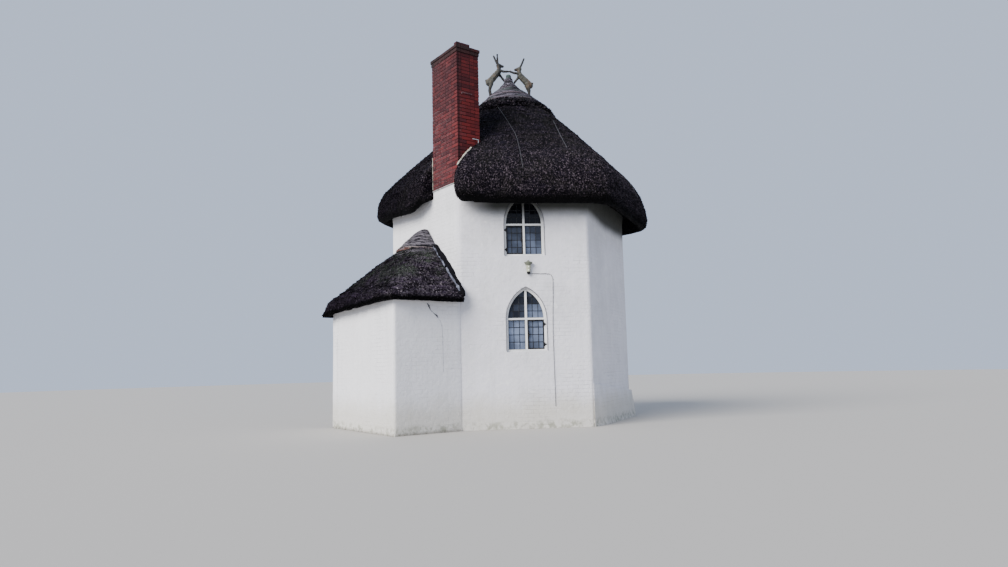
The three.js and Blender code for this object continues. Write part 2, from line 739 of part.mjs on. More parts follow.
function addAnnexThatch() {
  const scale = annex.reach + annex.overhang;
  const roof = turned(annexThatchProfile(scale), 48, annexRoofShape(scale));
  const cap = turned(annexCapProfile(scale), 36, annexRoofShape(scale));
  addPiece('annex_thatch', without(roof, [behindLeftWall()]), 'thatch');
  addPiece('annex_thatch_cap', without(cap, [behindLeftWall()]), 'reed');
}

// Lamp and cable

function addLamp() {
  const body = new THREE.LatheGeometry(lampOutline.map(([x, z]) => new THREE.Vector2(x, z)), 24);
  body.rotateX(Math.PI / 2).translate(lamp.x, -halfDepth - lamp.out, 0);
  const half = lamp.plateWidth / 2;
  const outline = rectangle(lamp.x - half, lamp.foot, lamp.x + half, lampOutline.at(-2)[1]);
  const plate = onWall(0, outline, seam, lamp.plateThickness);
  const house = onWall(0, rectangle(-halfFront, 0, halfFront, wallTop), -wallThickness, seam);
  addPiece('wall_lamp', toGeometry(joined([body, plate]).subtract(toSolid(house))), 'lampMetal');
}

function addCable() {
  const y = -halfDepth - 2 * seam - cableRadius;
  const curve = new THREE.CatmullRomCurve3(cableRoute.map(([x, z]) => new THREE.Vector3(x, y, z)));
  const round = new THREE.Shape();
  round.absarc(0, 0, cableRadius, 0, 2 * Math.PI, false);
  addPiece('lamp_cable', new THREE.ExtrudeGeometry(round, {
    extrudePath: curve, steps: 40, bevelEnabled: false, curveSegments: 4,
  }), 'cable');
}

addWalls();
addPlinths();
addFloors();
addDoor();
addWindows();
addChimney();
addMainThatch();
addRoofCap();
addHares();
addAnnexWalls();
addAnnexThatch();
addLamp();
addCable();

export default cottage;
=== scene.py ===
import math
import random
import bmesh
import bpy
from mathutils import Matrix, Vector, noise
from mathutils.bvhtree import BVHTree


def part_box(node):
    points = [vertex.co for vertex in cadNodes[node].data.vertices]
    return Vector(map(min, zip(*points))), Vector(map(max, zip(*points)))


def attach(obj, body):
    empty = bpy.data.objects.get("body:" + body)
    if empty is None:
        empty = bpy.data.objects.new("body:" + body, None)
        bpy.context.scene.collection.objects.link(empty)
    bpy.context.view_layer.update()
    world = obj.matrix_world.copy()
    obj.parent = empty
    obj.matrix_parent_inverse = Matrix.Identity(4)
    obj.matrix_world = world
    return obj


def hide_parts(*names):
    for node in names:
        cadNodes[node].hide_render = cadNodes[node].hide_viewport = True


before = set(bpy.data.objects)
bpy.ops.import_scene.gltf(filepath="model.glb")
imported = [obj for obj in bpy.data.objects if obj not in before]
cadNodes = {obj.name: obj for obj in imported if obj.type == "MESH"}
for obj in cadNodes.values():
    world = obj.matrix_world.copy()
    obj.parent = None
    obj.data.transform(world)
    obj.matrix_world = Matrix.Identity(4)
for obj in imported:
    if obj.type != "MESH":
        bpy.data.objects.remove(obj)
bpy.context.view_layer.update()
up = Vector((0, 0, 1))


# Plan of the house, read from the frame. Metres, the front wall faces -Y

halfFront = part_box("wall_front")[1].x
halfDepth = -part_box("wall_front")[0].y
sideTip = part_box("wall_right")[1].x
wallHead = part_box("wall_front")[1].z
planCorners = [Vector(c) for c in (
    (-halfFront, -halfDepth, 0), (halfFront, -halfDepth, 0), (sideTip, 0, 0),
    (halfFront, halfDepth, 0), (-halfFront, halfDepth, 0), (-sideTip, 0, 0))]
wallNames = ["front", "right", "back_right", "back", "back_left", "left"]


class WallFace:
    # A wall's own directions: along it as seen from outside, up, and out of it

    def __init__(self, start, end):
        self.middle = (start + end) / 2
        self.length = (end - start).length
        self.along = (end - start).normalized()
        self.out = self.along.cross(up)

    def point(self, along, height, out):
        return self.middle + self.along * along + up * height + self.out * out

    def local(self, point):
        offset = point - self.middle
        return offset.dot(self.along), offset.z, offset.dot(self.out)

    def turn(self):
        return Matrix((self.along, up, self.out)).transposed().to_4x4()


wallFaces = {name: WallFace(planCorners[i], planCorners[(i + 1) % 6]) for i, name in enumerate(wallNames)}
leftWall = wallFaces["left"]


# Camera and light

view = {
    "place": (-1.869, -16.198, 1.216), "yaw": 6.0, "pitch": 6.74, "roll": -1.34, "lens": 25.0,
    "picture": (1008, 567), "sky": (0.66, 0.77, 1.0), "skyStrength": 0.92, "sunColour": (1.0, 0.97, 0.93),
    "sunStrength": 6.0, "sunAngle": 40, "sunFrom": (-0.80, -0.66, 0.66), "floor": (0.42, 0.40, 0.37),
    "floorSize": 60,
}


def makeView():
    yaw, pitch, roll = (math.radians(view[k]) for k in ("yaw", "pitch", "roll"))
    ahead = Vector((math.sin(yaw) * math.cos(pitch), math.cos(yaw) * math.cos(pitch), math.sin(pitch)))
    level = Vector((math.cos(yaw), -math.sin(yaw), 0))
    rise = level.cross(ahead)
    right = level * math.cos(roll) + rise * math.sin(roll)
    top = rise * math.cos(roll) - level * math.sin(roll)
    camera = addObject("camera", bpy.data.cameras.new("camera"))
    camera.data.lens = view["lens"]
    camera.data.clip_end = 200
    turn = Matrix((right, top, -ahead)).transposed().to_4x4()
    camera.matrix_world = Matrix.Translation(view["place"]) @ turn
    bpy.context.scene.camera = camera
    view["basis"] = (ahead, right, top)

    world = bpy.data.worlds.new("studio")
    world.use_nodes = True
    world.node_tree.nodes["Background"].inputs["Color"].default_value = (*view["sky"], 1)
    world.node_tree.nodes["Background"].inputs["Strength"].default_value = view["skyStrength"]
    bpy.context.scene.world = world
    sun = addObject("sun", bpy.data.lights.new("sun", "SUN"))
    sun.data.energy = view["sunStrength"]
    sun.data.angle = math.radians(view["sunAngle"])
    sun.data.color = view["sunColour"]
    sun.matrix_world = Vector(view["sunFrom"]).to_track_quat("Z", "Y").to_matrix().to_4x4()


def sightOf(spot):  # the direction in which the camera sees a spot of its picture, in pixels
    ahead, right, top = view["basis"]
    wide, high = view["picture"]
    reach = wide * view["lens"] / 36
    return (ahead * reach + right * (spot[0] - wide / 2) - top * (spot[1] - high / 2)).normalized()


# Node helpers

def addNode(tree, kind, settings=None, **inputs):
    made = tree.nodes.new(kind)
    for key, value in (settings or {}).items():
        setattr(made, key, value)
    for key, value in inputs.items():
        numbered = key[0] == "i" and key[1:].isdigit()
        socket = made.inputs[int(key[1:]) if numbered else key.replace("_", " ")]
        if isinstance(value, bpy.types.NodeSocket):
            tree.links.new(value, socket)
        else:
            socket.default_value = value
    return made


def mixColour(tree, factor, first, second):
    first = (*first, 1) if isinstance(first, tuple) else first
    second = (*second, 1) if isinstance(second, tuple) else second
    return addNode(tree, "ShaderNodeMix", {"data_type": "RGBA"}, i0=factor, i6=first, i7=second).outputs[2]


def mathNode(tree, operation, first, second=0.0, clamp=False):
    settings = {"operation": operation, "use_clamp": clamp}
    return addNode(tree, "ShaderNodeMath", settings, i0=first, i1=second).outputs[0]


def spread(tree, value, low, high, start=0.0, end=1.0):
    made = addNode(tree, "ShaderNodeMapRange", {"interpolation_type": "SMOOTHSTEP"}, Value=value, From_Min=low,
                   From_Max=high, To_Min=start, To_Max=end)
    return made.outputs[0]


def newGroup(name, inputs, outputs):
    group = bpy.data.node_groups.new(name, "ShaderNodeTree")
    for label, kind, value in inputs:
        socket = group.interface.new_socket(label, in_out="INPUT", socket_type="NodeSocket" + kind)
        if value is not None:
            socket.default_value = value
    for label, kind in outputs:
        group.interface.new_socket(label, in_out="OUTPUT", socket_type="NodeSocket" + kind)
    return group, group.nodes.new("NodeGroupInput"), group.nodes.new("NodeGroupOutput")


def blotchGroup():  # soft uneven patches, from 0 to 1
    group, given, made = newGroup("blotches", [
        ("Place", "Vector", None), ("Size", "Float", 1.0), ("Low", "Float", 0.4), ("High", "Float", 0.6),
    ], [("Mask", "Float")])
    cloud = addNode(group, "ShaderNodeTexNoise", Vector=given.outputs["Place"], Scale=given.outputs["Size"],
                    Detail=6.0, Roughness=0.62, Distortion=0.3)
    mask = spread(group, cloud.outputs[0], given.outputs["Low"], given.outputs["High"])
    group.links.new(mask, made.inputs["Mask"])
    return group


def strandGroup():  # thin stems that lie along the third coordinate
    group, given, made = newGroup("strands", [
        ("Place", "Vector", None), ("Across", "Float", 60.0), ("Along", "Float", 6.0),
    ], [("Mask", "Float"), ("Height", "Float")])
    stretch = addNode(group, "ShaderNodeCombineXYZ", X=given.outputs["Across"], Y=given.outputs["Across"],
                      Z=given.outputs["Along"])
    place = addNode(group, "ShaderNodeVectorMath", {"operation": "MULTIPLY"}, i0=given.outputs["Place"],
                    i1=stretch.outputs[0])
    stems = addNode(group, "ShaderNodeTexNoise", Vector=place.outputs[0], Scale=1.0, Detail=3.0, Roughness=0.6)
    group.links.new(spread(group, stems.outputs[0], 0.36, 0.66), made.inputs["Mask"])
    group.links.new(stems.outputs[0], made.inputs["Height"])
    return group


def footGroup():  # damp and splashes that rise from the ground, from 0 to 1
    group, given, made = newGroup("footStain", [("Place", "Vector", None), ("Reach", "Float", 0.8)],
                                  [("Mask", "Float")])
    height = addNode(group, "ShaderNodeSeparateXYZ", Vector=given.outputs["Place"]).outputs[2]
    ragged = addNode(group, "ShaderNodeTexNoise", Vector=given.outputs["Place"], Scale=2.3, Detail=7.0,
                     Roughness=0.65)
    low = mathNode(group, "MULTIPLY", ragged.outputs[0], given.outputs["Reach"])
    low = mathNode(group, "SUBTRACT", height, low)
    group.links.new(spread(group, low, 0.0, given.outputs["Reach"], 1.0, 0.0), made.inputs["Mask"])
    return group


def runGroup():  # streaks that rain draws down a wall
    group, given, made = newGroup("rainRuns", [("Place", "Vector", None), ("Width", "Float", 9.0)],
                                  [("Mask", "Float")])
    place = addNode(group, "ShaderNodeMapping", Vector=given.outputs["Place"], Scale=(1, 1, 0.09))
    runs = addNode(group, "ShaderNodeTexNoise", Vector=place.outputs[0], Scale=given.outputs["Width"], Detail=5.0)
    group.links.new(spread(group, runs.outputs[0], 0.45, 0.72), made.inputs["Mask"])
    return group


blotches, strands, footStain, rainRuns = blotchGroup(), strandGroup(), footGroup(), runGroup()


class Finish:
    # One material, with its shader and short calls for the nodes in it

    def __init__(self, name, roughness=0.8, metallic=0.0, shine=0.5):
        self.material = bpy.data.materials.new(name)
        self.material.use_nodes = True
        self.tree = self.material.node_tree
        self.shader = self.tree.nodes["Principled BSDF"]
        self.shader.inputs["Roughness"].default_value = roughness
        self.shader.inputs["Metallic"].default_value = metallic
        self.shader.inputs["Specular IOR Level"].default_value = shine
        self.place = addNode(self.tree, "ShaderNodeTexCoord").outputs["Object"]
        self.coat = None

    def group(self, tree, output, **inputs):
        return addNode(self.tree, "ShaderNodeGroup", {"node_tree": tree}, **inputs).outputs[output]

    def blotch(self, size, low, high):
        return self.group(blotches, "Mask", Place=self.place, Size=size, Low=low, High=high)

    def noise(self, scale, detail=4.0, place=None):
        made = addNode(self.tree, "ShaderNodeTexNoise", Vector=place or self.place, Scale=scale, Detail=detail)
        return made.outputs[0]

    def attribute(self, name, output="Fac"):
        return addNode(self.tree, "ShaderNodeAttribute", {"attribute_name": name}).outputs[output]

    def axes(self):
        return addNode(self.tree, "ShaderNodeSeparateXYZ", Vector=self.place).outputs

    def mix(self, factor, first, second):
        return mixColour(self.tree, factor, first, second)

    def maths(self, operation, first, second=0.0, clamp=False):
        return mathNode(self.tree, operation, first, second, clamp)

    def times(self, first, second):
        return self.maths("MULTIPLY", first, second)

    def ramp(self, value, low, high, start=0.0, end=1.0):
        return spread(self.tree, value, low, high, start, end)

    def lay(self, colour, mask, share=None):  # a colour over the coat, where the mask shows it
        self.coat = self.mix(mask if share is None else self.times(mask, share), self.coat, colour)

    def colour(self, socket=None):
        self.tree.links.new(socket or self.coat, self.shader.inputs["Base Color"])

    def rough(self, mask, low, high):
        self.tree.links.new(self.ramp(mask, 0.0, 1.0, low, high), self.shader.inputs["Roughness"])

    def relief(self, height, distance, strength=1.0):
        before = self.shader.inputs["Normal"].links
        bump = addNode(self.tree, "ShaderNodeBump", Height=height, Distance=distance, Strength=strength)
        if before:
            self.tree.links.new(before[0].from_socket, bump.inputs["Normal"])
        self.tree.links.new(bump.outputs[0], self.shader.inputs["Normal"])


def scaled(colour, share):
    return tuple(c * share for c in colour)


def limewashFinish():
    made = Finish("limewash", 0.9)
    spot = addNode(made.tree, "ShaderNodeUVMap", {"uv_map": "wallPlace"}).outputs[0]
    wobble = addNode(made.tree, "ShaderNodeTexNoise", Vector=spot, Scale=3.0, Detail=3.0)
    shifted = addNode(made.tree, "ShaderNodeVectorMath", {"operation": "MULTIPLY_ADD"}, i0=wobble.outputs[1],
                      i1=(0.03, 0.022, 0.0), i2=spot)
    courses = addNode(made.tree, "ShaderNodeTexBrick", {"offset": 0.5}, Vector=shifted.outputs[0], Scale=1.0,
                      Mortar_Size=0.007, Mortar_Smooth=0.7, Brick_Width=0.225, Row_Height=0.075, Bias=0.0,
                      Color1=(1, 1, 1, 1), Color2=(0.86, 0.86, 0.86, 1), Mortar=(0, 0, 0, 1))
    shows = made.times(made.blotch(0.8, 0.4, 0.62), made.blotch(11.0, 0.36, 0.56))
    joint = made.times(courses.outputs["Fac"], shows)
    x, _, z = made.axes()
    made.coat = made.mix(made.blotch(1.3, 0.35, 0.68), (0.80, 0.785, 0.83), (0.70, 0.69, 0.72))
    made.lay((0.86, 0.85, 0.86), made.blotch(6.0, 0.5, 0.8))
    made.lay((0.92, 0.91, 0.92), made.ramp(x, -1.30, -1.40, 0.0, 0.6))  # painted light: whiter on the left wall, to lift the eave's shadow there
    made.lay((0.42, 0.41, 0.44), joint, 0.26)
    made.lay((0.45, 0.46, 0.43), made.group(rainRuns, "Mask", Place=made.place, Width=7.0), 0.12)
    eaveShadeShare = made.ramp(x, -1.32, -0.55, 0.06, 1.0)  # how much painted shade falls under the eave: less of it towards the chimney
    # Painted shade under the eave, greenish grey, stronger towards the thatch
    under = made.times(made.ramp(z, 3.95, 4.6), made.blotch(2.2, 0.2, 0.6))
    made.lay((0.36, 0.39, 0.34), made.times(under, eaveShadeShare), 0.42)
    shadeDropRight = made.ramp(x, 1.35, 1.9, 0.0, 0.10)  # the painted shade reaches lower on the right, under the wider eave
    # Near-black painted shadow right under the eave line
    eaveShadeLevel = made.maths("ADD", made.maths("ADD", z, shadeDropRight), made.times(made.noise(2.5), 0.08))
    made.lay((0.016, 0.020, 0.015), made.times(made.ramp(eaveShadeLevel, 4.18, 4.46), eaveShadeShare), 0.93)
    made.lay((0.50, 0.46, 0.34), made.group(footStain, "Mask", Place=made.place, Reach=0.55), 0.5)
    moss = made.group(footStain, "Mask", Place=made.place, Reach=0.14)
    made.lay((0.16, 0.17, 0.10), made.times(moss, made.blotch(9.0, 0.42, 0.64)), 0.6)
    made.lay((0.34, 0.31, 0.27), made.blotch(26.0, 0.7, 0.76), 0.35)
    made.colour()
    made.rough(made.noise(9.0), 0.78, 0.98)
    made.relief(made.times(joint, -1.0), 0.005, 0.8)
    made.relief(made.noise(13.0, 9.0), 0.014, 0.75)
    made.relief(made.noise(60.0, 4.0), 0.004, 0.7)
    return made.material


def brickFinish():
    made = Finish("brick", 0.9, shine=0.22)
    tint = made.attribute("tint")
    side = made.attribute("side")  # 1 on the face that the weather beats, 0 on the sheltered one
    x, _, z = made.axes()
    made.coat = made.mix(made.ramp(tint, 0.0, 1.0), (0.070, 0.009, 0.011), (0.175, 0.019, 0.018))
    made.lay((0.065, 0.011, 0.013), made.ramp(tint, 0.93, 1.0, 0.0, 0.6))
    made.lay((0.06, 0.009, 0.011), made.blotch(38.0, 0.45, 0.7), 0.35)
    weathered = made.times(side, made.ramp(made.blotch(6.0, 0.3, 0.6), 0.0, 1.0, 0.45, 0.75))
    made.lay(made.mix(tint, (0.040, 0.016, 0.020), (0.105, 0.034, 0.038)), weathered)
    lichen = made.maths("ADD", made.times(side, 0.5), 0.08)
    made.lay((0.24, 0.17, 0.16), made.times(made.blotch(34.0, 0.6, 0.66), lichen))
    soot = made.times(made.ramp(z, 5.6, 7.75), made.blotch(3.0, 0.15, 0.6))
    made.lay((0.026, 0.010, 0.013), soot, 0.55)
    edge = made.times(made.ramp(x, -1.301, -1.297), made.ramp(x, -1.235, -1.265))  # painted shade: dark in a strip beside the front corner
    made.lay((0.012, 0.004, 0.006), edge, 0.6)
    band = made.times(made.ramp(z, 7.62, 7.67), made.ramp(z, 7.80, 7.83, 1.0, 0.0))
    made.lay((0.020, 0.017, 0.016), made.times(band, made.blotch(5.0, 0.15, 0.5)), 0.7)
    made.colour()
    made.rough(made.noise(60.0), 0.8, 1.0)
    made.relief(made.noise(70.0, 6.0), 0.004, 0.7)
    return made.material


def jointFinish():
    made = Finish("mortarJoints", 0.95, shine=0.2)
    made.coat = made.mix(made.blotch(8.0, 0.35, 0.65), (0.045, 0.014, 0.015), (0.016, 0.007, 0.009))
    pale = made.times(made.attribute("side"), made.blotch(14.0, 0.34, 0.58))
    made.lay((0.25, 0.175, 0.18), made.times(pale, made.ramp(made.axes()[2], 5.4, 7.6, 1.0, 0.55)))
    made.colour()
    made.relief(made.noise(80.0, 6.0), 0.004, 0.8)
    return made.material


def mortarFinish(name, pale, dark, green):
    made = Finish(name, 0.95)
    made.coat = made.mix(made.blotch(8.0, 0.35, 0.65), pale, dark)
    made.lay((0.10, 0.12, 0.05), made.blotch(5.0, 0.52, 0.66), green)
    made.colour()
    made.relief(made.noise(80.0, 6.0), 0.004, 0.8)
    return made.material


def thatchFinish(name, dark, middle, light, moss, mossShare, mossFrom=(0.0, 0.1), tipsUpTo=(4.9, 6.6),
                 layered=(5.2, 6.6), smoothLeft=(-1.9, -2.7)):
    made = Finish(name, 0.95, shine=0.1)
    place = made.attribute("reedPlace", "Vector")
    x, _, z = made.axes()
    made.coat = made.mix(made.group(strands, "Mask", Place=place, Across=80.0, Along=26.0), dark, middle)
    made.lay(dark, made.blotch(1.1, 0.4, 0.66), 0.5)
    made.lay(middle, made.blotch(2.3, 0.45, 0.66), 0.4)
    low = made.ramp(z, *tipsUpTo, 1.0, 0.5)  # butts of the reeds show more low down
    low = made.times(low, made.ramp(x, *smoothLeft, 1.0, 0.3))  # and less on the left
    made.lay(light, made.times(made.blotch(34.0, 0.54, 0.64), low))
    layers = addNode(made.tree, "ShaderNodeMapping", Vector=made.place, Scale=(3.4, 3.4, 17.0)).outputs[0]
    layers = made.noise(1.0, 3.0, layers)  # rows in which the reeds were laid
    made.lay(scaled(dark, 0.3), made.times(made.ramp(layers, 0.47, 0.60), made.ramp(z, *layered, 0.35, 0.9)))
    made.lay(scaled(middle, 2.4), made.times(made.ramp(layers, 0.44, 0.34), made.ramp(z, *layered, 0.1, 0.45)))
    made.lay(light, made.times(made.maths("POWER", made.attribute("tint"), 4.0), made.times(low, 0.8)))
    made.lay(scaled(dark, 0.25), made.blotch(20.0, 0.52, 0.62), 0.8)
    green = made.times(made.blotch(1.7, 0.44, 0.6), made.blotch(22.0, 0.36, 0.62))
    made.lay(moss, made.times(green, made.ramp(z, *mossFrom)), mossShare)
    made.lay((0.0004, 0.0004, 0.0006), made.attribute("shade"), 0.96)  # painted shade: 1 under the eaves, 0 outside
    made.colour()
    made.relief(made.group(strands, "Height", Place=place, Across=75.0, Along=26.0), 0.02, 0.8)
    made.relief(made.times(layers, -1.0), 0.06, 0.8)
    made.relief(made.noise(30.0, 5.0), 0.03, 0.9)
    return made.material


def bundleFinish(name, dark, light, green):  # bound straw whose single straws differ
    made = Finish(name, 0.9, shine=0.25)
    made.coat = made.mix(made.ramp(made.attribute("tint"), 0.25, 1.0), dark, light)
    made.lay(dark, made.blotch(30.0, 0.45, 0.7), 0.6)
    made.lay(green, made.blotch(3.5, 0.5, 0.66), 0.5)
    # Darkens where the shade attribute is set; on the annex cap's underside that is painted shade
    made.lay((0.004, 0.0035, 0.005), made.attribute("shade"), 0.88)
    made.colour()
    made.relief(made.noise(90.0, 4.0), 0.006, 0.8)
    return made.material


def strawFinish():
    made = Finish("boundStraw", 0.85)
    stems = made.noise(110.0, 3.0)
    made.coat = made.mix(made.ramp(stems, 0.35, 0.65), (0.030, 0.030, 0.027), (0.112, 0.108, 0.084))
    made.lay((0.15, 0.088, 0.052), made.blotch(7.0, 0.5, 0.64), 0.7)
    made.lay((0.022, 0.023, 0.022), made.blotch(11.0, 0.5, 0.64), 0.8)
    # Painted shade: the hares' thin parts darkened by the shade attribute
    made.lay((0.010, 0.010, 0.012), made.attribute("shade"), 0.82)
    made.colour()
    made.relief(stems, 0.008, 0.9)
    return made.material


def paintFinish(name, paint, worn, gloss=0.45, wear=0.5, eaveShadeFrom=None):
    made = Finish(name, gloss)
    made.coat = made.mix(made.blotch(5.0, 0.4, 0.7), paint, scaled(paint, 0.86))
    made.lay(worn, made.times(made.blotch(34.0, 0.62, 0.67), made.blotch(3.0, 0.45, 0.6)), wear)
    if eaveShadeFrom:  # painted shade of the eave: darkens from one height to another
        made.lay((0.030, 0.034, 0.028), made.ramp(made.axes()[2], *eaveShadeFrom, 0.0, 0.85))
    made.colour()
    made.rough(made.noise(20.0), gloss - 0.08, gloss + 0.18)
    made.relief(made.noise(55.0, 3.0), 0.0012, 0.5)
    return made.material


def ironFinish():
    made = Finish("iron", 0.55, 0.6)
    rust = made.blotch(30.0, 0.55, 0.7)
    made.colour(made.mix(rust, (0.014, 0.014, 0.016), (0.07, 0.035, 0.02)))
    made.rough(rust, 0.42, 0.85)
    made.relief(made.noise(120.0, 3.0), 0.0008, 0.6)
    return made.material


def leadFinish():
    made = Finish("lead", 0.6, 0.5)
    made.colour(made.mix(made.blotch(24.0, 0.4, 0.65), (0.012, 0.012, 0.014), (0.036, 0.038, 0.043)))
    made.relief(made.noise(90.0, 3.0), 0.0008, 0.5)
    return made.material


def paneFinish():
    made = Finish("pane", 0.07, shine=0.2)
    # The pane colour is painted sky reflection, pale blue by the tint attribute and a cloud; tint near 0 gives
    # near-black painted shade
    cloud = made.ramp(made.noise(3.2, 3.0), 0.3, 0.7, 0.55, 1.25)
    pale = made.maths("MULTIPLY", made.attribute("tint"), cloud, True)
    made.colour(made.mix(pale, (0.003, 0.003, 0.005), (0.215, 0.265, 0.385)))
    made.rough(made.noise(40.0), 0.04, 0.12)
    made.relief(made.noise(9.0, 2.0), 0.004, 0.25)
    return made.material


def woodFinish(name, light, dark, across, along):
    made = Finish(name, 0.75)
    place = addNode(made.tree, "ShaderNodeMapping", Vector=made.place, Scale=(along, across, across)).outputs[0]
    grain = addNode(made.tree, "ShaderNodeTexNoise", Vector=place, Scale=1.0, Detail=6.0, Distortion=0.6)
    made.colour(made.mix(made.ramp(grain.outputs[0], 0.35, 0.66), light, dark))
    made.relief(grain.outputs[0], 0.002, 0.6)
    return made.material


def stoneFinish():
    made = Finish("floorStone", 0.85)
    slabs = addNode(made.tree, "ShaderNodeTexBrick", {"offset": 0.4}, Vector=made.place, Scale=1.0,
                    Mortar_Size=0.006, Mortar_Smooth=0.4, Brick_Width=0.62, Row_Height=0.46,
                    Color1=(0.30, 0.28, 0.25, 1), Color2=(0.22, 0.21, 0.19, 1), Mortar=(0.12, 0.115, 0.10, 1))
    made.coat = slabs.outputs["Color"]
    made.lay((0.16, 0.15, 0.12), made.blotch(7.0, 0.4, 0.7), 0.5)
    made.colour()
    made.relief(made.times(slabs.outputs["Fac"], -1.0), 0.004, 0.8)
    made.relief(made.noise(40.0, 6.0), 0.002, 0.6)
    return made.material


def plainFinish(name, colour, roughness, metallic=0.0, speck=0.8, shine=0.5):
    made = Finish(name, roughness, metallic, shine)
    made.colour(made.mix(made.blotch(18.0, 0.4, 0.7), colour, scaled(colour, speck)))
    made.rough(made.noise(30.0), roughness - 0.06, roughness + 0.12)
    made.relief(made.noise(60.0, 3.0), 0.0008, 0.4)
    return made.material


finishes = {
    "limewash": limewashFinish(),
    "brick": brickFinish(),
    "joints": jointFinish(),
    "flashing": mortarFinish("paleMortar", (0.50, 0.50, 0.49), (0.22, 0.22, 0.23), 0.55),
    "thatch": thatchFinish("darkThatch", (0.0013, 0.0009, 0.0024), (0.0072, 0.0050, 0.0112), (0.128, 0.100, 0.118),
                           (0.013, 0.014, 0.008), 0.35),
    "annexThatch": thatchFinish("mossyThatch", (0.0055, 0.0036, 0.0078), (0.031, 0.021, 0.036),
                                (0.150, 0.128, 0.145), (0.052, 0.064, 0.048), 0.85, (2.70, 3.2), (2.5, 4.4),
                                (2.4, 2.9), (-2.7, -3.5)),
    "reed": bundleFinish("capReed", (0.018, 0.016, 0.022), (0.220, 0.195, 0.240), (0.065, 0.088, 0.075)),
    "annexReed": bundleFinish("annexCapReed", (0.008, 0.007, 0.011), (0.20, 0.18, 0.205), (0.050, 0.058, 0.042)),
    "straw": strawFinish(),
    "rope": plainFinish("strawRope", (0.135, 0.100, 0.115), 0.9, 0.0, 0.35),
    "band": plainFinish("hazelBand", (0.170, 0.082, 0.068), 0.85, 0.0, 0.4),
    "paleCord": plainFinish("paleCord", (0.34, 0.28, 0.27), 0.85, 0.0, 0.45),
    "tipReed": bundleFinish("tipReed", (0.035, 0.050, 0.048), (0.095, 0.125, 0.120), (0.060, 0.095, 0.085)),
    "crack": plainFinish("crack", (0.10, 0.10, 0.11), 0.95, 0.0, 0.6),
    "lampShade": plainFinish("lampShade", (0.15, 0.16, 0.115), 0.5, 0.0, 0.7),
    "whitePaint": paintFinish("whitePaint", (0.80, 0.80, 0.79), (0.35, 0.30, 0.24), eaveShadeFrom=(4.02, 4.45)),
    "greyLine": paintFinish("greyLine", (0.10, 0.10, 0.115), (0.22, 0.21, 0.21), 0.6),
    "doorPaint": paintFinish("doorPaint", (0.035, 0.055, 0.048), (0.16, 0.13, 0.10), 0.45, 0.6),
    "iron": ironFinish(),
    "lead": leadFinish(),
    "pane": paneFinish(),
    "boards": woodFinish("floorBoards", (0.26, 0.165, 0.09), (0.12, 0.07, 0.04), 26.0, 2.0),
    "stone": stoneFinish(),
    "wire": plainFinish("nettingWire", (0.060, 0.060, 0.068), 0.6, 0.2, 0.5),
    "tar": plainFinish("tarredFillet", (0.0045, 0.0042, 0.0060), 0.85, 0.0, 0.4, 0.08),
    "cream": mortarFinish("creamMortar", (0.56, 0.53, 0.43), (0.30, 0.29, 0.25), 0.3),
    "ledge": plainFinish("sootedLedge", (0.17, 0.11, 0.115), 0.9, 0.0, 0.4),
    "zinc": plainFinish("zinc", (0.62, 0.63, 0.64), 0.45, 0.5),
    "enamel": plainFinish("lampEnamel", (0.30, 0.31, 0.25), 0.4, 0.0, 0.6),
    "opal": plainFinish("opalGlass", (0.90, 0.90, 0.80), 0.15, 0.0, 0.95),
    "lampGlass": plainFinish("lampGlass", (0.44, 0.45, 0.33), 0.2, 0.0, 0.75),
    "leadStrip": mortarFinish("paleStrip", (0.165, 0.175, 0.225), (0.030, 0.030, 0.045), 0.2),
    "hairline": plainFinish("hairline", (0.30, 0.30, 0.33), 0.95, 0.0, 0.6),
    "cable": plainFinish("cableSheath", (0.075, 0.075, 0.085), 0.55, 0.0, 0.6),
}


# Mesh helpers

def cadMesh(node):
    mesh = bmesh.new()
    mesh.from_mesh(cadNodes[node].data)
    bmesh.ops.remove_doubles(mesh, verts=mesh.verts, dist=1e-5)
    return mesh


def meshData(name, mesh):
    data = bpy.data.meshes.new(name)
    mesh.to_mesh(data)
    mesh.free()
    return data


def addObject(name, data):
    made = bpy.data.objects.new(name, data)
    bpy.context.scene.collection.objects.link(made)
    return made


def place(name, mesh, finish, slot, nodes=(), sharp=None):
    data = meshData(name, mesh)
    for layer in [layer for layer in data.uv_layers if layer.name != "wallPlace"]:
        data.uv_layers.remove(layer)
    data.materials.append(finishes[finish])
    if sharp is not None:
        data.polygons.foreach_set("use_smooth", [True] * len(data.polygons))
        data.set_sharp_from_angle(angle=math.radians(sharp))
    piece = addObject(name, data)
    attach(piece, "root")
    if nodes:
        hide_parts(*nodes)
    return piece


def bake(piece):  # the modifiers' result becomes the mesh
    bpy.context.view_layer.update()
    graph = bpy.context.evaluated_depsgraph_get()
    piece.data = bpy.data.meshes.new_from_object(piece.evaluated_get(graph), preserve_all_data_layers=True,
                                                 depsgraph=graph)
    piece.modifiers.clear()


def bevelEdges(mesh, edges, offset, segments=2):
    bmesh.ops.bevel(mesh, geom=edges, offset=offset, offset_type="OFFSET", segments=segments, profile=0.5,
                    affect="EDGES", material=-1, clamp_overlap=True)


def bisect(mesh, point, normal):
    bmesh.ops.bisect_plane(mesh, geom=mesh.verts[:] + mesh.edges[:] + mesh.faces[:], dist=1e-5,
                           plane_co=point, plane_no=normal)


def addBox(mesh, spot, turn, size, bevel):
    matrix = Matrix.Translation(spot) @ turn @ Matrix.Diagonal((*size, 1))
    made = bmesh.ops.create_cube(mesh, size=1.0, matrix=matrix)
    bevelEdges(mesh, list({edge for vert in made["verts"] for edge in vert.link_edges}), bevel)


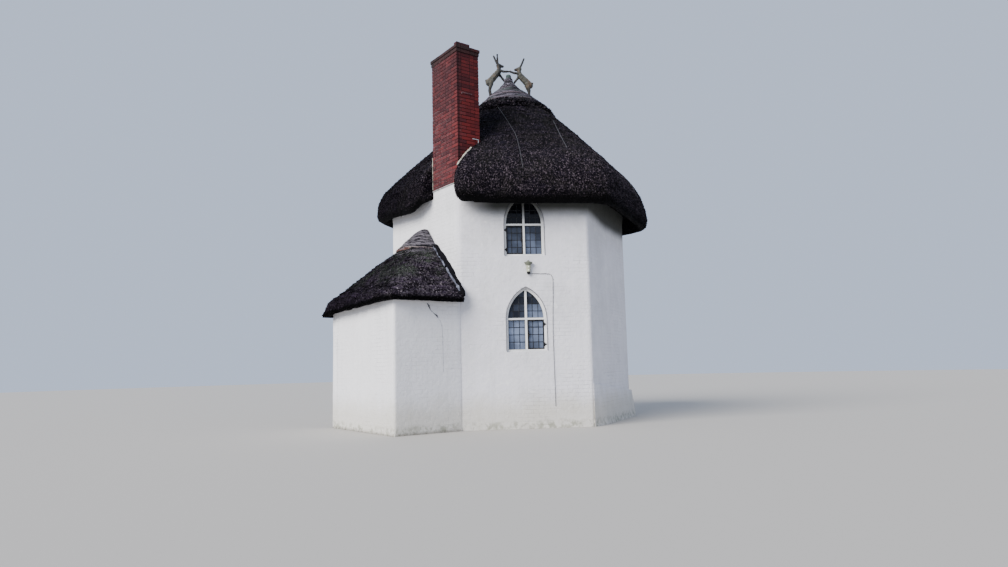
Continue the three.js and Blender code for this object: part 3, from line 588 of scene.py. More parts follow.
def addTube(mesh, points, radius, sides=6, closed=False, radii=None):
    # A round tube along a line of points: one ring is turned at each point, and rings are bridged
    rings = []
    count = len(points)
    for i, point in enumerate(points):
        before = points[(i - 1) % count] if closed or i else point
        after = points[(i + 1) % count] if closed or i < count - 1 else point
        turn = (after - before).normalized().to_track_quat("Z", "Y").to_matrix().to_4x4()
        ring = bmesh.ops.create_circle(mesh, segments=sides, radius=radii[i] if radii else radius,
                                       matrix=Matrix.Translation(point) @ turn)
        rings.append(list({edge for vert in ring["verts"] for edge in vert.link_edges}))
    for i in range(count if closed else count - 1):
        bmesh.ops.bridge_loops(mesh, edges=rings[i] + rings[(i + 1) % count])
    if not closed:
        bmesh.ops.holes_fill(mesh, edges=rings[0] + rings[-1], sides=0)


def spun(mesh, profile, centre, steps=28):  # a closed round shape from its outline of (radius, height)
    verts = [mesh.verts.new(centre + Vector((r, 0, z))) for r, z in profile]
    edges = [mesh.edges.new(pair) for pair in zip(verts, verts[1:])]
    bmesh.ops.spin(mesh, geom=verts + edges, cent=centre, axis=up, dvec=(0, 0, 0), angle=math.tau, steps=steps,
                   use_merge=True)
    bmesh.ops.remove_doubles(mesh, verts=mesh.verts, dist=0.0008)
    bmesh.ops.recalc_face_normals(mesh, faces=mesh.faces[:])


def addRope(mesh, points, radius, turns, closed=False):
    # Three strands wound round the line
    count = len(points)
    for strand in range(3):
        wound = []
        for i, point in enumerate(points):
            before = points[(i - 1) % count] if closed or i else point
            after = points[(i + 1) % count] if closed or i < count - 1 else point
            side = (after - before).normalized().cross(up).normalized()
            lift = side.cross((after - before).normalized())
            angle = 2 * math.pi * (turns * i / count + strand / 3)
            wound.append(point + (side * math.cos(angle) + lift * math.sin(angle)) * radius * 0.52)
        addTube(mesh, wound, radius * 0.56, 5, closed)


def smoothLine(points, steps):  # an even Catmull-Rom line through the points
    line = []
    for i in range(len(points) - 1):
        a, b = points[max(i - 1, 0)], points[i]
        c, d = points[i + 1], points[min(i + 2, len(points) - 1)]
        for k in range(steps):
            t = k / steps
            bend = (2 * a - 5 * b + 4 * c - d) * t * t + (3 * b - a - 3 * c + d) * t ** 3
            line.append(0.5 * (2 * b + (c - a) * t + bend))
    return line + [points[-1]]


def fade(value, none, full):  # 0 at one value, 1 at another, even between them
    return min(1.0, max(0.0, (value - none) / (full - none)))


def extent(mesh, face):  # least and greatest along a face, up it and out of it
    spots = [face.local(vert.co) for vert in mesh.verts]
    return [(min(values), max(values)) for values in zip(*spots)]


def setFloat(data, name, values, domain="POINT"):
    layer = data.attributes.get(name) or data.attributes.new(name, "FLOAT", domain)
    layer.data.foreach_set("value", values)


# Limewashed masonry

masonry = {
    "grid": 0.075, "endCuts": (0.015, 0.035, 0.055, 0.09), "cornerRadius": 0.10, "sideRadius": 0.22,
    "wave": 0.007, "ripple": 0.003, "sharp": (2.35, 2.75), "base": (4.75, 4.91),
}
footing = {"bevel": 0.02, "taper": 0.55, "least": 0.012}


def cornerDrop(distance, radius):  # how far a rounded corner falls back from the flat face
    reach = radius * math.tan(math.radians(30))
    if distance >= reach:
        return 0.0
    return radius - math.sqrt(radius ** 2 - (reach - distance) ** 2)


def surfaceWave(point):
    slow = noise.noise(point * 1.4) * 0.5 + 0.5
    fast = noise.noise(point * 7.0) * 0.5 + 0.5
    return slow * masonry["wave"] + fast * masonry["ripple"]


def gridCut(mesh, face, low, high, bottom, top):
    step = masonry["grid"]
    for i in range(int((high - low) / step) + 1):
        bisect(mesh, face.point(low + i * step, 0, 0), face.along)
    ends = masonry["endCuts"]
    for edge in [low + inset for inset in ends] + [high - inset for inset in reversed(ends)]:
        bisect(mesh, face.point(edge, 0, 0), face.along)
    for i in range(1, int((top - bottom) / step) + 1):
        bisect(mesh, Vector((0, 0, bottom + i * step)), up)


def layWallMap(mesh, face):
    layer = mesh.loops.layers.uv.new("wallPlace")
    for polygon in mesh.faces:
        across = abs(polygon.normal.dot(face.along)) > 0.7
        flat = abs(polygon.normal.z) > 0.7
        for loop in polygon.loops:
            along, height, out = face.local(loop.vert.co)
            loop[layer].uv = (out if across else along, out if flat else height)


def masonryWall(node, face, name, radii):
    mesh = cadMesh(node)
    (low, high), (bottom, top), _ = extent(mesh, face)
    gridCut(mesh, face, low, high, bottom, top)
    for vert in mesh.verts:
        along, height, out = face.local(vert.co)
        if abs(out) > 1e-3:
            continue
        fall = surfaceWave(vert.co)
        for radius, distance, way in ((radii[0], along - low, -1), (radii[1], high - along, 1)):
            drop = cornerDrop(distance, radius)
            meetsLeanTo = node == "wall_front" and way < 0
            if meetsLeanTo:
                drop *= fade(height, *masonry["sharp"])
            turned = face.along * way * math.tan(math.radians(30)) if distance <= 1e-3 else Vector()
            vert.co -= (face.out + turned) * drop
            if distance < 1e-3:
                fall = 0 if meetsLeanTo and height < masonry["sharp"][0] else min(fall, masonry["ripple"])
        vert.co -= face.out * fall
    layWallMap(mesh, face)
    return place(name, mesh, "limewash", "limewash", [node], 40)


def makeWalls():
    usual, soft = masonry["cornerRadius"], masonry["sideRadius"]
    for name in wallNames:
        radii = (soft if name == "back_right" else usual, soft if name == "right" else usual)
        masonryWall("wall_" + name, wallFaces[name], "limewashed_wall_" + name, radii)
    print("walls done")


def makeFooting():
    for name in ("right", "back_right"):
        face = wallFaces[name]
        node = "plinth_" + name
        mesh = cadMesh(node)
        (low, high), _, _ = extent(mesh, face)
        gridCut(mesh, face, low, high, 0, 0.9)
        sharpEdges = [e for e in mesh.edges if len(e.link_faces) == 2 and e.calc_face_angle(0) > 0.6
                      and min(v.co.z for v in e.verts) > 0.3 and max(face.local(v.co)[2] for v in e.verts) > 0.02]
        bevelEdges(mesh, sharpEdges, footing["bevel"], 3)
        for vert in mesh.verts:
            along, _, out = face.local(vert.co)
            if out > 0.004 and vert.co.z > 0.02:
                vert.co -= face.out * surfaceWave(vert.co) * 1.2
            if out > 0.004 and name == "right":
                flat = fade(along + face.length / 2, footing["taper"], 0.0)
                vert.co -= face.out * (out - footing["least"]) * flat
        layWallMap(mesh, face)
        place("wall_foot_" + name, mesh, "limewash", "limewash", [node], 40)
    print("wall feet done")


# Chimney of single bricks

bricks = {
    "stretcher": (0.212, 0.101, 0.064), "header": (0.101, 0.212, 0.064), "bevel": 0.004, "gap": 0.010,
    "setBack": 0.0020, "courses": 37, "course": 0.075, "bandSteps": (0.012, 0.025), "panelBack": 0.0050,
    "panelFoot": 6.80, "crown": ((0.05, 0.055, 0.46), (0.05, 0.165, 0.46), (0.05, 0.275, 0.46),
                                 (0.148, 0.11, 0.45), (0.148, 0.22, 0.45)),
    "ledge": ((0.006, 0.03, 0.004, (0.028, 0.25, 0.009)), (0.004, 0.155, 0.02, (0.024, 0.008, 0.05))),
    "jointBack": 0.010, "bandJointBack": 0.022, "seed": 7,
}


class StackPlan:
    # From the front corner of the left wall: u runs back along the wall, v runs inwards

    def __init__(self):
        self.corner = leftWall.point(leftWall.length / 2, 0, 0)
        self.back = -leftWall.along
        self.inward = -leftWall.out
        self.basis = Matrix((self.back, self.inward, up)).transposed()
        self.turn = self.basis.to_4x4()

    def point(self, u, v, z):
        return self.corner + self.back * u + self.inward * v + up * z


stackPlan = StackPlan()
stackLength = 1.0
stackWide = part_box("chimney_stack")[1].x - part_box("chimney_stack")[0].x
stackDepth = (stackWide - 0.5 * stackLength) / math.cos(math.radians(30))


def brickTemplate(size):
    mesh = bmesh.new()
    bmesh.ops.create_cube(mesh, size=1.0, matrix=Matrix.Diagonal((*size, 1)))
    bevelEdges(mesh, mesh.edges[:], bricks["bevel"], 1)
    return meshData("brickTemplate", mesh)


def courseBricks(length, depth, odd, panel):
    # Bricks of one course as (u, v, du, dv, on the panel): stretchers and headers take turns
    unitU, unitV = length / 9, depth / 5
    row = []
    if odd:
        ends = [(0, 2), (2, 4), (4, 5)]
        sides = [(k, k + 1) for k in range(1, 8)]
    else:
        ends = [(1, 3), (3, 4)]
        sides = [(0, 2), (2, 4), (4, 6), (6, 8), (8, 9)]
    frontEnds = [(0, 1), (1, 3), (3, 4), (4, 5)] if odd and panel else ends
    for a, b in sides:
        row.append((a * unitU, 0.0, (b - a) * unitU, unitV, False))
        row.append((length - b * unitU, depth - unitV, (b - a) * unitU, unitV, False))
    for a, b in frontEnds:
        row.append((0.0, a * unitV, unitU, (b - a) * unitV, panel and a >= 1 and b <= 4))
    for a, b in ends:
        row.append((length - unitU, depth - b * unitV, unitU, (b - a) * unitV, False))
    return row


def layCourses(mesh, templates, chance, bottom, height, count, grow=0.0, panelFrom=math.inf):
    tintLayer, sideLayer = (mesh.verts.layers.float[name] for name in ("tint", "side"))
    length, depth = stackLength + 2 * grow, stackDepth + 2 * grow
    gap = bricks["gap"]
    for course in range(count):
        z = bottom + (course + 0.5) * height
        for u, v, du, dv, sunk in courseBricks(length, depth, course % 2 == 1, z > panelFrom):
            edges = []  # outer faces stand in the plane of the wall, inner ones leave room for the joint
            for first, wide, whole in ((u, du, length), (v, dv, depth)):
                edges.append((first if first < 0.001 else first + gap / 2,
                              first + wide if first + wide > whole - 0.001 else first + wide - gap / 2))
            size = (edges[0][1] - edges[0][0], edges[1][1] - edges[1][0], height - gap)
            kind = "stretcher" if du > dv else "header"
            start = len(mesh.verts)
            mesh.from_mesh(templates[kind])
            scale = [s / t for s, t in zip(size, bricks[kind])]
            back = chance.uniform(0, bricks["setBack"]) + (bricks["panelBack"] if sunk else 0)
            if chance.random() < 0.06 and not sunk:
                back += chance.uniform(0.002, 0.004)
            cu, cv = (sum(pair) / 2 - grow for pair in edges)
            cu += back if u < 0.001 else -back if u + du > length - 0.001 else 0
            cv += back if v < 0.001 else -back if v + dv > depth - 0.001 else 0
            twist = Matrix.Rotation(chance.uniform(-0.006, 0.006), 3, "Z")
            centre = stackPlan.point(cu, cv, z + chance.uniform(-0.0015, 0.0015))
            tint = chance.random()
            weather = 1.0 if v < 0.001 and u > 0.001 else 0.55 if u < 0.001 and v < 0.001 else 0.0
            for vert in list(mesh.verts)[start:]:
                local = twist @ Vector([c * s for c, s in zip(vert.co, scale)])
                vert.co = centre + stackPlan.basis @ local
                vert[tintLayer] = tint
                vert[sideLayer] = weather


def makeBricks(chance):
    templates = {kind: brickTemplate(bricks[kind]) for kind in ("stretcher", "header")}
    foot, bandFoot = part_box("chimney_stack")[0].z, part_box("chimney_band")[0].z
    bandTop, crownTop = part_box("chimney_band")[1].z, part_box("chimney_crown")[1].z
    mesh = bmesh.new()
    tintLayer, sideLayer = mesh.verts.layers.float.new("tint"), mesh.verts.layers.float.new("side")
    count = bricks["courses"]
    layCourses(mesh, templates, chance, foot, (bandFoot - foot) / count, count, 0, bricks["panelFoot"])
    for course, grow in enumerate(bricks["bandSteps"]):
        layCourses(mesh, templates, chance, bandFoot + course * bricks["course"], bricks["course"], 1, grow)
    for u, v, stretch in bricks["crown"]:  # the raised bricks on the front corner
        start = len(mesh.verts)
        mesh.from_mesh(templates["stretcher"])
        tint = chance.random() * 0.7
        for vert in list(mesh.verts)[start:]:
            local = Vector((vert.co.x * stretch, vert.co.y, vert.co.z * 1.1))
            vert.co = stackPlan.point(u, v, (bandTop + crownTop) / 2) + stackPlan.basis @ local
            vert[tintLayer] = tint
            vert[sideLayer] = 0.8
    place("chimney_bricks", mesh, "brick", "brick", ["chimney_crown"])


def makeJoints():  # the mortar behind the bricks' faces
    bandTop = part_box("chimney_band")[1].z
    for node, name, inset, grow in (("chimney_stack", "chimney_joints", bricks["jointBack"], 0),
                                    ("chimney_band", "chimney_top_joints", bricks["bandJointBack"], 0.025)):
        core = cadMesh(node)
        side = core.verts.layers.float.new("side")
        middle = stackPlan.point(stackLength / 2, stackDepth / 2, 0)
        for vert in core.verts:
            offset = vert.co - middle
            u, v = offset.dot(stackPlan.back), offset.dot(stackPlan.inward)
            if abs(abs(u) - stackLength / 2 - grow) < 0.002:
                vert.co -= stackPlan.back * math.copysign(inset, u)
            if abs(abs(v) - stackDepth / 2 - grow) < 0.002:
                vert.co -= stackPlan.inward * math.copysign(inset, v)
                vert[side] = 1.0 if v < 0 and u > 0 else 0.0
            if node == "chimney_band" and vert.co.z > bandTop - 0.01:
                vert.co.z -= 0.004
        bmesh.ops.recalc_face_normals(core, faces=core.faces[:])
        place(name, core, "joints", "brick", [node])


def makeChimney():
    makeBricks(random.Random(bricks["seed"]))
    makeJoints()
    ledge = bmesh.new()
    for u, v, drop, size in bricks["ledge"]:
        spot = stackPlan.point(u, stackDepth / 2 - v, bricks["panelFoot"] - drop)
        addBox(ledge, spot, stackPlan.turn, size, 0.003)
    place("chimney_ledge", ledge, "ledge", "brick", (), 40)
    print("chimney done")


def makeChimneyBase():
    base = cadMesh("chimney_base")
    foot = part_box("chimney_stack")[0].z
    (low, high), _, _ = extent(base, leftWall)
    gridCut(base, leftWall, low, high, *masonry["base"])
    for vert in base.verts:
        height, out = leftWall.local(vert.co)[1:]
        if out > -0.001:
            vert.co -= leftWall.out * (surfaceWave(vert.co) * (0.4 if height < masonry["base"][0] + 0.02 else 1))
    layWallMap(base, leftWall)
    place("chimney_base_limewashed", base, "limewash", "limewash", ["chimney_base"], 40)
    breast = cadMesh("chimney_breast")
    layWallMap(breast, leftWall)
    place("chimney_breast_limewashed", breast, "limewash", "limewash", ["chimney_breast"], 40)
    ridge = bmesh.new()  # pale mortar line where the bricks start
    line = [stackPlan.point(u / 20, -0.002 + 0.004 * noise.noise(Vector((u, 3, 0))), foot + 0.004)
            for u in range(21)]
    end = [stackPlan.point(0.002, v / 12, foot + 0.004) for v in range(7)]
    for points in (line, end):
        addTube(ridge, points, 0.014)
    place("chimney_foot_mortar", ridge, "flashing", "limewash", (), 60)
    print("chimney base done")


# Thatch

thatch = {
    "voxel": 0.050, "annexVoxel": 0.040, "capVoxel": 0.022, "smoothing": 4, "swell": 0.009, "ripple": 0.006,
    "butts": {"size": (0.016, 0.024, 0.062), "lift": 0.12, "jitter": 0.28},
    "fineButts": {"size": (0.010, 0.013, 0.075), "lift": 0.12, "jitter": 0.34},
    "ends": {"size": (0.015, 0.015, 0.030), "lift": 2.2, "jitter": 0.5},
    "shag": {"size": (0.030, 0.034, 0.110), "lift": 0.22, "jitter": 0.40},
    "clumps": {"size": (0.036, 0.020, 0.070), "lift": 0.10, "jitter": 0.25},
    "longShag": {"size": (0.040, 0.050, 0.120), "lift": 0.55, "jitter": 0.45},
    "tufts": {  # how many, of which kind, and the seed of their places
        "main_thatch_butts": (15500, "butts", 11), "main_thatch_stems": (15500, "fineButts", 23),
        "main_thatch_rim": (9000, "ends", 29), "annex_thatch_butts": (6500, "butts", 31),
        "annex_thatch_clumps": (900, "clumps", 41), "annex_thatch_rim": (2400, "ends", 37),
        "roof_cap_foot_shag": (1500, "shag", 63), "roof_cap_under_shag": (1300, "longShag", 64),
    },
}
straws = {"sweep": (16, 44), "points": 8, "sides": 5}
roofCap = {
    "straws": 720, "strawRadius": 0.0075, "seed": 61,
    "ties": ((0, 0.175, 0.011), (0, 0.365, 0.014), (0, 0.39, 0.009), (1, -0.29, 0.009)),  # from foot or top
    "roof_tip": ((0.0005, -0.14), (0.074, -0.135), (0.070, -0.10), (0.067, -0.06), (0.064, -0.035),
                 (0.054, -0.012), (0.034, 0.0), (0.0005, 0.003)),
    "roof_tip_collar": ((0.0005, -0.33), (0.215, -0.325), (0.165, -0.27), (0.137, -0.238), (0.112, -0.20),
                        (0.105, -0.16), (0.098, -0.12), (0.074, -0.098), (0.0005, -0.09)),
}
annexCap = {
    "straws": (330, 0.0095, 0.0), "footStraws": (60, 0.008, 0.3), "seed": 67,
    "cord": ((0.0, 0.0085), (0.020, 0.006)), "band": ((0.050, 0.013), (0.074, 0.013), (0.098, 0.010)),
}
mainAxis = Vector(((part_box("main_thatch_cap")[0].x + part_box("main_thatch_cap")[1].x) / 2, 0, 0))
annexApex = leftWall.point(0.106, 0, 0)
mainSlope, annexSlope = 1.3, 1.5


def layReeds(piece, axis, slope):
    # Where each point is along and across the reeds: round the roof's axis, and down its slope
    layer = piece.data.attributes.new("reedPlace", "FLOAT_VECTOR", "POINT")
    values = []
    for vert in piece.data.vertices:
        offset = vert.co - axis
        flat = Vector((offset.x, offset.y, 0))
        reach = flat.normalized() if flat.length > 1e-4 else Vector((1, 0, 0))
        values += [reach.x * 2.6, reach.y * 2.6, -vert.co.z * slope]
    layer.data.foreach_set("vector", values)


def lump(piece, amount, ripple):
    normals = [vert.normal.copy() for vert in piece.data.vertices]
    for vert, normal in zip(piece.data.vertices, normals):
        spot = vert.co
        slow = noise.noise(spot * 1.6) * amount
        quick = noise.noise(Vector((spot.x * 5, spot.y * 5, spot.z * 9))) * ripple
        vert.co += normal * (slow + quick)
    piece.data.update()


def thatched(name, node, voxel, smoothing, finish, slot):
    piece = place(name, cadMesh(node), finish, slot, [node])
    remesh = piece.modifiers.new("remesh", "REMESH")
    remesh.mode = "VOXEL"
    remesh.voxel_size = voxel
    remesh.use_smooth_shade = True
    soften = piece.modifiers.new("soften", "SMOOTH")
    soften.iterations = smoothing
    bake(piece)
    return piece


def finishThatch(piece, amount, ripple, axis, slope, shade):
    lump(piece, amount, ripple)
    layReeds(piece, axis, slope)
    setFloat(piece.data, "tint", [0.25] * len(piece.data.vertices))
    setFloat(piece.data, "shade", [shade(vert) for vert in piece.data.vertices])


def outerSkin(piece, axis, keep):
    # A copy of the faces that straw butts stand on
    mesh = bmesh.new()
    mesh.from_mesh(piece.data)
    drop = []
    for polygon in mesh.faces:
        centre = polygon.calc_center_median()
        radial = Vector((centre.x - axis.x, centre.y - axis.y, 0)).normalized()
        if not keep(centre, polygon.normal, radial):
            drop.append(polygon)
    bmesh.ops.delete(mesh, geom=drop, context="FACES")
    return meshData("skin", mesh)


def vectorNode(tree, operation, first, second=None, output=0, **inputs):
    if second is not None:
        inputs["i1"] = second
    return addNode(tree, "ShaderNodeVectorMath", {"operation": operation}, i0=first, **inputs).outputs[output]


def scatterTree(name, tuft, density, seed, size, lift, jitter):
    # Nodes that stand tufts on a skin: each lies down its slope, a little proud of it and astray
    tree = bpy.data.node_groups.new(name + "Scatter", "GeometryNodeTree")
    for way in ("INPUT", "OUTPUT"):
        tree.interface.new_socket("Geometry", in_out=way, socket_type="NodeSocketGeometry")
    given, made = tree.nodes.new("NodeGroupInput"), tree.nodes.new("NodeGroupOutput")
    points = addNode(tree, "GeometryNodeDistributePointsOnFaces", Mesh=given.outputs[0], Density=density,
                     Seed=seed)
    normal = points.outputs["Normal"]
    down = (0.0, 0.0, -1.0)
    part = vectorNode(tree, "DOT_PRODUCT", normal, down, "Value")
    away = vectorNode(tree, "SCALE", normal, Scale=part)
    slide = vectorNode(tree, "NORMALIZE", vectorNode(tree, "SUBTRACT", down, away))
    slide = vectorNode(tree, "ADD", slide, vectorNode(tree, "SCALE", normal, Scale=lift))
    stray = addNode(tree, "FunctionNodeRandomValue", {"data_type": "FLOAT_VECTOR"}, i0=(-jitter,) * 3,
                    i1=(jitter,) * 3, Seed=seed + 1).outputs[0]
    slide = vectorNode(tree, "ADD", slide, stray)
    turn = addNode(tree, "FunctionNodeAlignRotationToVector", {"axis": "Z"}, Vector=slide).outputs[0]
    turn = addNode(tree, "FunctionNodeAlignRotationToVector", {"axis": "X", "pivot_axis": "Z"}, Rotation=turn,
                   Vector=normal).outputs[0]
    scale = addNode(tree, "FunctionNodeRandomValue", {"data_type": "FLOAT_VECTOR"}, i0=scaled(size, 0.6),
                    i1=scaled(size, 1.4), Seed=seed + 2).outputs[0]
    shape = addNode(tree, "GeometryNodeObjectInfo", Object=tuft).outputs["Geometry"]
    laid = addNode(tree, "GeometryNodeInstanceOnPoints", Points=points.outputs["Points"], Instance=shape,
                   Rotation=turn, Scale=scale)
    tint = addNode(tree, "FunctionNodeRandomValue", {"data_type": "FLOAT"}, Seed=seed + 3).outputs[1]
    named = addNode(tree, "GeometryNodeStoreNamedAttribute", {"data_type": "FLOAT", "domain": "INSTANCE"},
                    Geometry=laid.outputs[0], Name="tint", Value=tint)
    real = addNode(tree, "GeometryNodeRealizeInstances", Geometry=named.outputs[0])
    tree.links.new(real.outputs[0], made.inputs[0])
    return tree


def tuftMesh():  # a tapered bundle of stems, 1 long, its butt end down the third axis
    mesh = bmesh.new()
    bmesh.ops.create_cone(mesh, cap_ends=True, segments=3, radius1=0.27, radius2=0.56, depth=1.0)
    return meshData("tuft", mesh)


def scatterTufts(name, skin, finish, axis, slope, dark=0.0):
    count, style, seed = thatch["tufts"][name]
    holder = addObject(name, skin)
    tuft = bpy.data.objects.new("tuft", tuftMesh())
    density = count / sum(p.area for p in skin.polygons)
    tree = scatterTree(name, tuft, density, seed, **thatch[style])
    holder.modifiers.new("scatter", "NODES").node_group = tree
    bake(holder)
    bpy.data.objects.remove(tuft)
    bpy.data.node_groups.remove(tree)
    holder.data.materials.clear()
    holder.data.materials.append(finishes[finish])
    layReeds(holder, axis, slope)
    setFloat(holder.data, "shade", [dark(vert.co) if callable(dark) else dark for vert in holder.data.vertices])
    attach(holder, "root")
    print(name, len(holder.data.polygons), "faces")


def nearPlan(centre):  # how far a point is from the middle of the house, in plan
    return Vector((centre.x, centre.y)).length


def mainSkin(centre, normal, radial):
    if centre.z < wallHead + 0.9 and nearPlan(centre) < 2.35:
        return False
    return normal.z > 0.02 and (normal.dot(radial) > 0.05 or normal.z > 0.25)


def mainRim(centre, normal, radial):
    if nearPlan(centre) < 2.62 or centre.z > 5.35:
        return False
    return -0.5 < normal.z < 0.30 and normal.dot(radial) > -0.35


def makeMainThatch():
    piece = thatched("main_thatch_reeds", "main_thatch", thatch["voxel"], thatch["smoothing"], "thatch", "thatch")
    # Painted shade on the underside of the eaves, from the normals
    finishThatch(piece, thatch["swell"], thatch["ripple"], mainAxis, mainSlope,
                 lambda vert: fade(vert.normal.z, 0.05, -0.35))
    skin = outerSkin(piece, mainAxis, mainSkin)
    scatterTufts("main_thatch_butts", skin.copy(), "thatch", mainAxis, mainSlope)
    scatterTufts("main_thatch_stems", skin, "thatch", mainAxis, mainSlope)
    rim = outerSkin(piece, mainAxis, mainRim)
    # The rim's tufts carry painted shade, darkest low down where the eave turns under
    scatterTufts("main_thatch_rim", rim, "thatch", mainAxis, mainSlope,
                 lambda spot: 0.15 + 0.85 * fade(spot.z, 4.62, 4.44))
    print("main thatch", len(piece.data.polygons))
    return piece


def annexSkin(centre, normal, radial):
    return leftWall.local(centre)[2] > 0.03 and normal.z > 0.02


def annexRim(centre, normal, radial):
    return leftWall.local(centre)[2] > 0.03 and centre.z < 3.0 and -0.5 < normal.z < 0.3 and normal.dot(radial) > 0


def makeAnnexThatch():
    piece = thatched("annex_thatch_reeds", "annex_thatch", thatch["annexVoxel"], thatch["smoothing"],
                     "annexThatch", "thatch")

    def rimShade(spot):  # painted shade: the rim of the eave is painted black where the drip turns under, and the line falls with the eave towards the far side
        sag = 0.04 * max(0.0, leftWall.length / 2 - leftWall.local(spot)[0])
        return fade(spot.z + sag, 2.595, 2.55)

    # Painted shade on the underside of the eave and at its rim
    finishThatch(piece, 0.010, 0.011, annexApex, annexSlope,
                 lambda vert: max(fade(vert.normal.z, 0.05, -0.3), rimShade(vert.co)))
    skin = outerSkin(piece, annexApex, annexSkin)
    scatterTufts("annex_thatch_butts", skin.copy(), "annexThatch", annexApex, annexSlope, rimShade)
    scatterTufts("annex_thatch_clumps", skin, "annexThatch", annexApex, annexSlope, rimShade)
    rim = outerSkin(piece, annexApex, annexRim)
    scatterTufts("annex_thatch_rim", rim, "annexThatch", annexApex, annexSlope, rimShade)
    print("annex thatch", len(piece.data.polygons))
    return piece


def strawMesh():  # an empty mesh whose points have a tint and a shade
    mesh = bmesh.new()
    mesh.verts.layers.float.new("tint")
    mesh.verts.layers.float.new("shade")
    return mesh


def surfaceTree(pieces):
    mesh = bmesh.new()
    for piece in pieces:
        mesh.from_mesh(piece.data)
    tree = BVHTree.FromBMesh(mesh)
    mesh.free()
    return tree


def ringOn(tree, axis, height, start, end, count, lift):
    # Points on a roof at one height, found from outside towards its axis
    line = []
    for i in range(count):
        angle = math.radians(start + (end - start) * i / (count - 1))
        way = Vector((math.cos(angle), math.sin(angle), 0))
        level = height(i / (count - 1)) if callable(height) else height
        hit = tree.ray_cast(axis + way * 6 + up * level, -way)[0]
        if hit:
            line.append(hit + way * lift)
    return line


def addStraws(mesh, tree, axis, heights, arc, count, radius, chance, shade):
    # Straws laid round a cap, each over part of the way, a little aslant and of its own tint
    data = bpy.data.meshes.new("straw")
    for _ in range(count):
        level, start, sweep = chance.uniform(*heights), chance.uniform(*arc), chance.uniform(*straws["sweep"])
        start = min(start, arc[1] - sweep)
        rise, lift = chance.uniform(-0.025, 0.025), chance.uniform(-0.002, 0.005)
        line = ringOn(tree, axis, lambda share: level + rise * share, start, start + sweep, straws["points"],
                      lift)
        if len(line) < straws["points"]:
            continue
        straw = strawMesh()
        addTube(straw, line, radius * chance.uniform(0.6, 1.4), straws["sides"])
        tint, dark = (straw.verts.layers.float[name] for name in ("tint", "shade"))
        own = chance.random()
        for vert in straw.verts:
            vert[tint], vert[dark] = own, shade(vert.co.z)
        straw.to_mesh(data)
        straw.free()
        mesh.from_mesh(data)


def makeTip(name, finish, nodes):
    low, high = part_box("finial_tip")
    middle, top = (low + high) / 2, high.z
    tip = bmesh.new()
    profile = [(reach, top + drop) for reach, drop in roofCap[name]]
    spun(tip, profile, Vector((middle.x, middle.y, 0)), 20)
    bmesh.ops.subdivide_edges(tip, edges=tip.edges[:], cuts=2, use_grid_fill=True)
    tint, dark = tip.verts.layers.float.new("tint"), tip.verts.layers.float.new("shade")
    for vert in tip.verts:
        level = vert.co.z - top
        vert.co += vert.normal * noise.noise(vert.co * 30) * 0.006
        vert[tint] = 0.5 + noise.noise(vert.co * 40)
        if name == "roof_tip_collar":
            vert[dark] = fade(level, -0.27, -0.235) * fade(level, -0.175, -0.20)
    place(name, tip, finish, "reed", nodes, 60)


def makeRoofCap():
    chance = random.Random(roofCap["seed"])
    cap = thatched("roof_cap_reeds", "main_thatch_cap", thatch["capVoxel"], 3, "reed", "reed")
    low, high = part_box("main_thatch_cap")[0].z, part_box("main_thatch_cap")[1].z

    def shade(z):  # dark at the foot like the thatch
        return fade(z, low + 0.19, low + 0.10)

    finishThatch(cap, 0.008, 0.006, mainAxis, mainSlope, lambda vert: shade(vert.co.z))
    foot = outerSkin(cap, mainAxis,
                     lambda centre, normal, radial: centre.z < low + 0.16 and normal.dot(radial) > -0.2)
    scatterTufts("roof_cap_foot_shag", foot, "thatch", mainAxis, mainSlope)
    below = outerSkin(bpy.data.objects["main_thatch_reeds"], mainAxis,
                      lambda centre, normal, radial: low - 0.13 < centre.z < low + 0.03 and normal.dot(radial) > 0)
    scatterTufts("roof_cap_under_shag", below, "thatch", mainAxis, mainSlope)
    tree = surfaceTree([cap])
    laid = strawMesh()
    addStraws(laid, tree, mainAxis, (low + 0.03, high - 0.20), (0, 400), roofCap["straws"],
              roofCap["strawRadius"], chance, shade)
    place("roof_cap_straws", laid, "reed", "reed", (), 60)
    ropes = bmesh.new()
    for end, height, radius in roofCap["ties"]:
        addRope(ropes, ringOn(tree, mainAxis, (low, high)[end] + height, 0, 356, 96, 0.004), radius, 34, True)
    place("roof_cap_ties", ropes, "rope", "reed", (), 60)
    makeTip("roof_tip", "tipReed", ["finial_tip"])
    makeTip("roof_tip_collar", "reed", ())
    print("roof cap done")


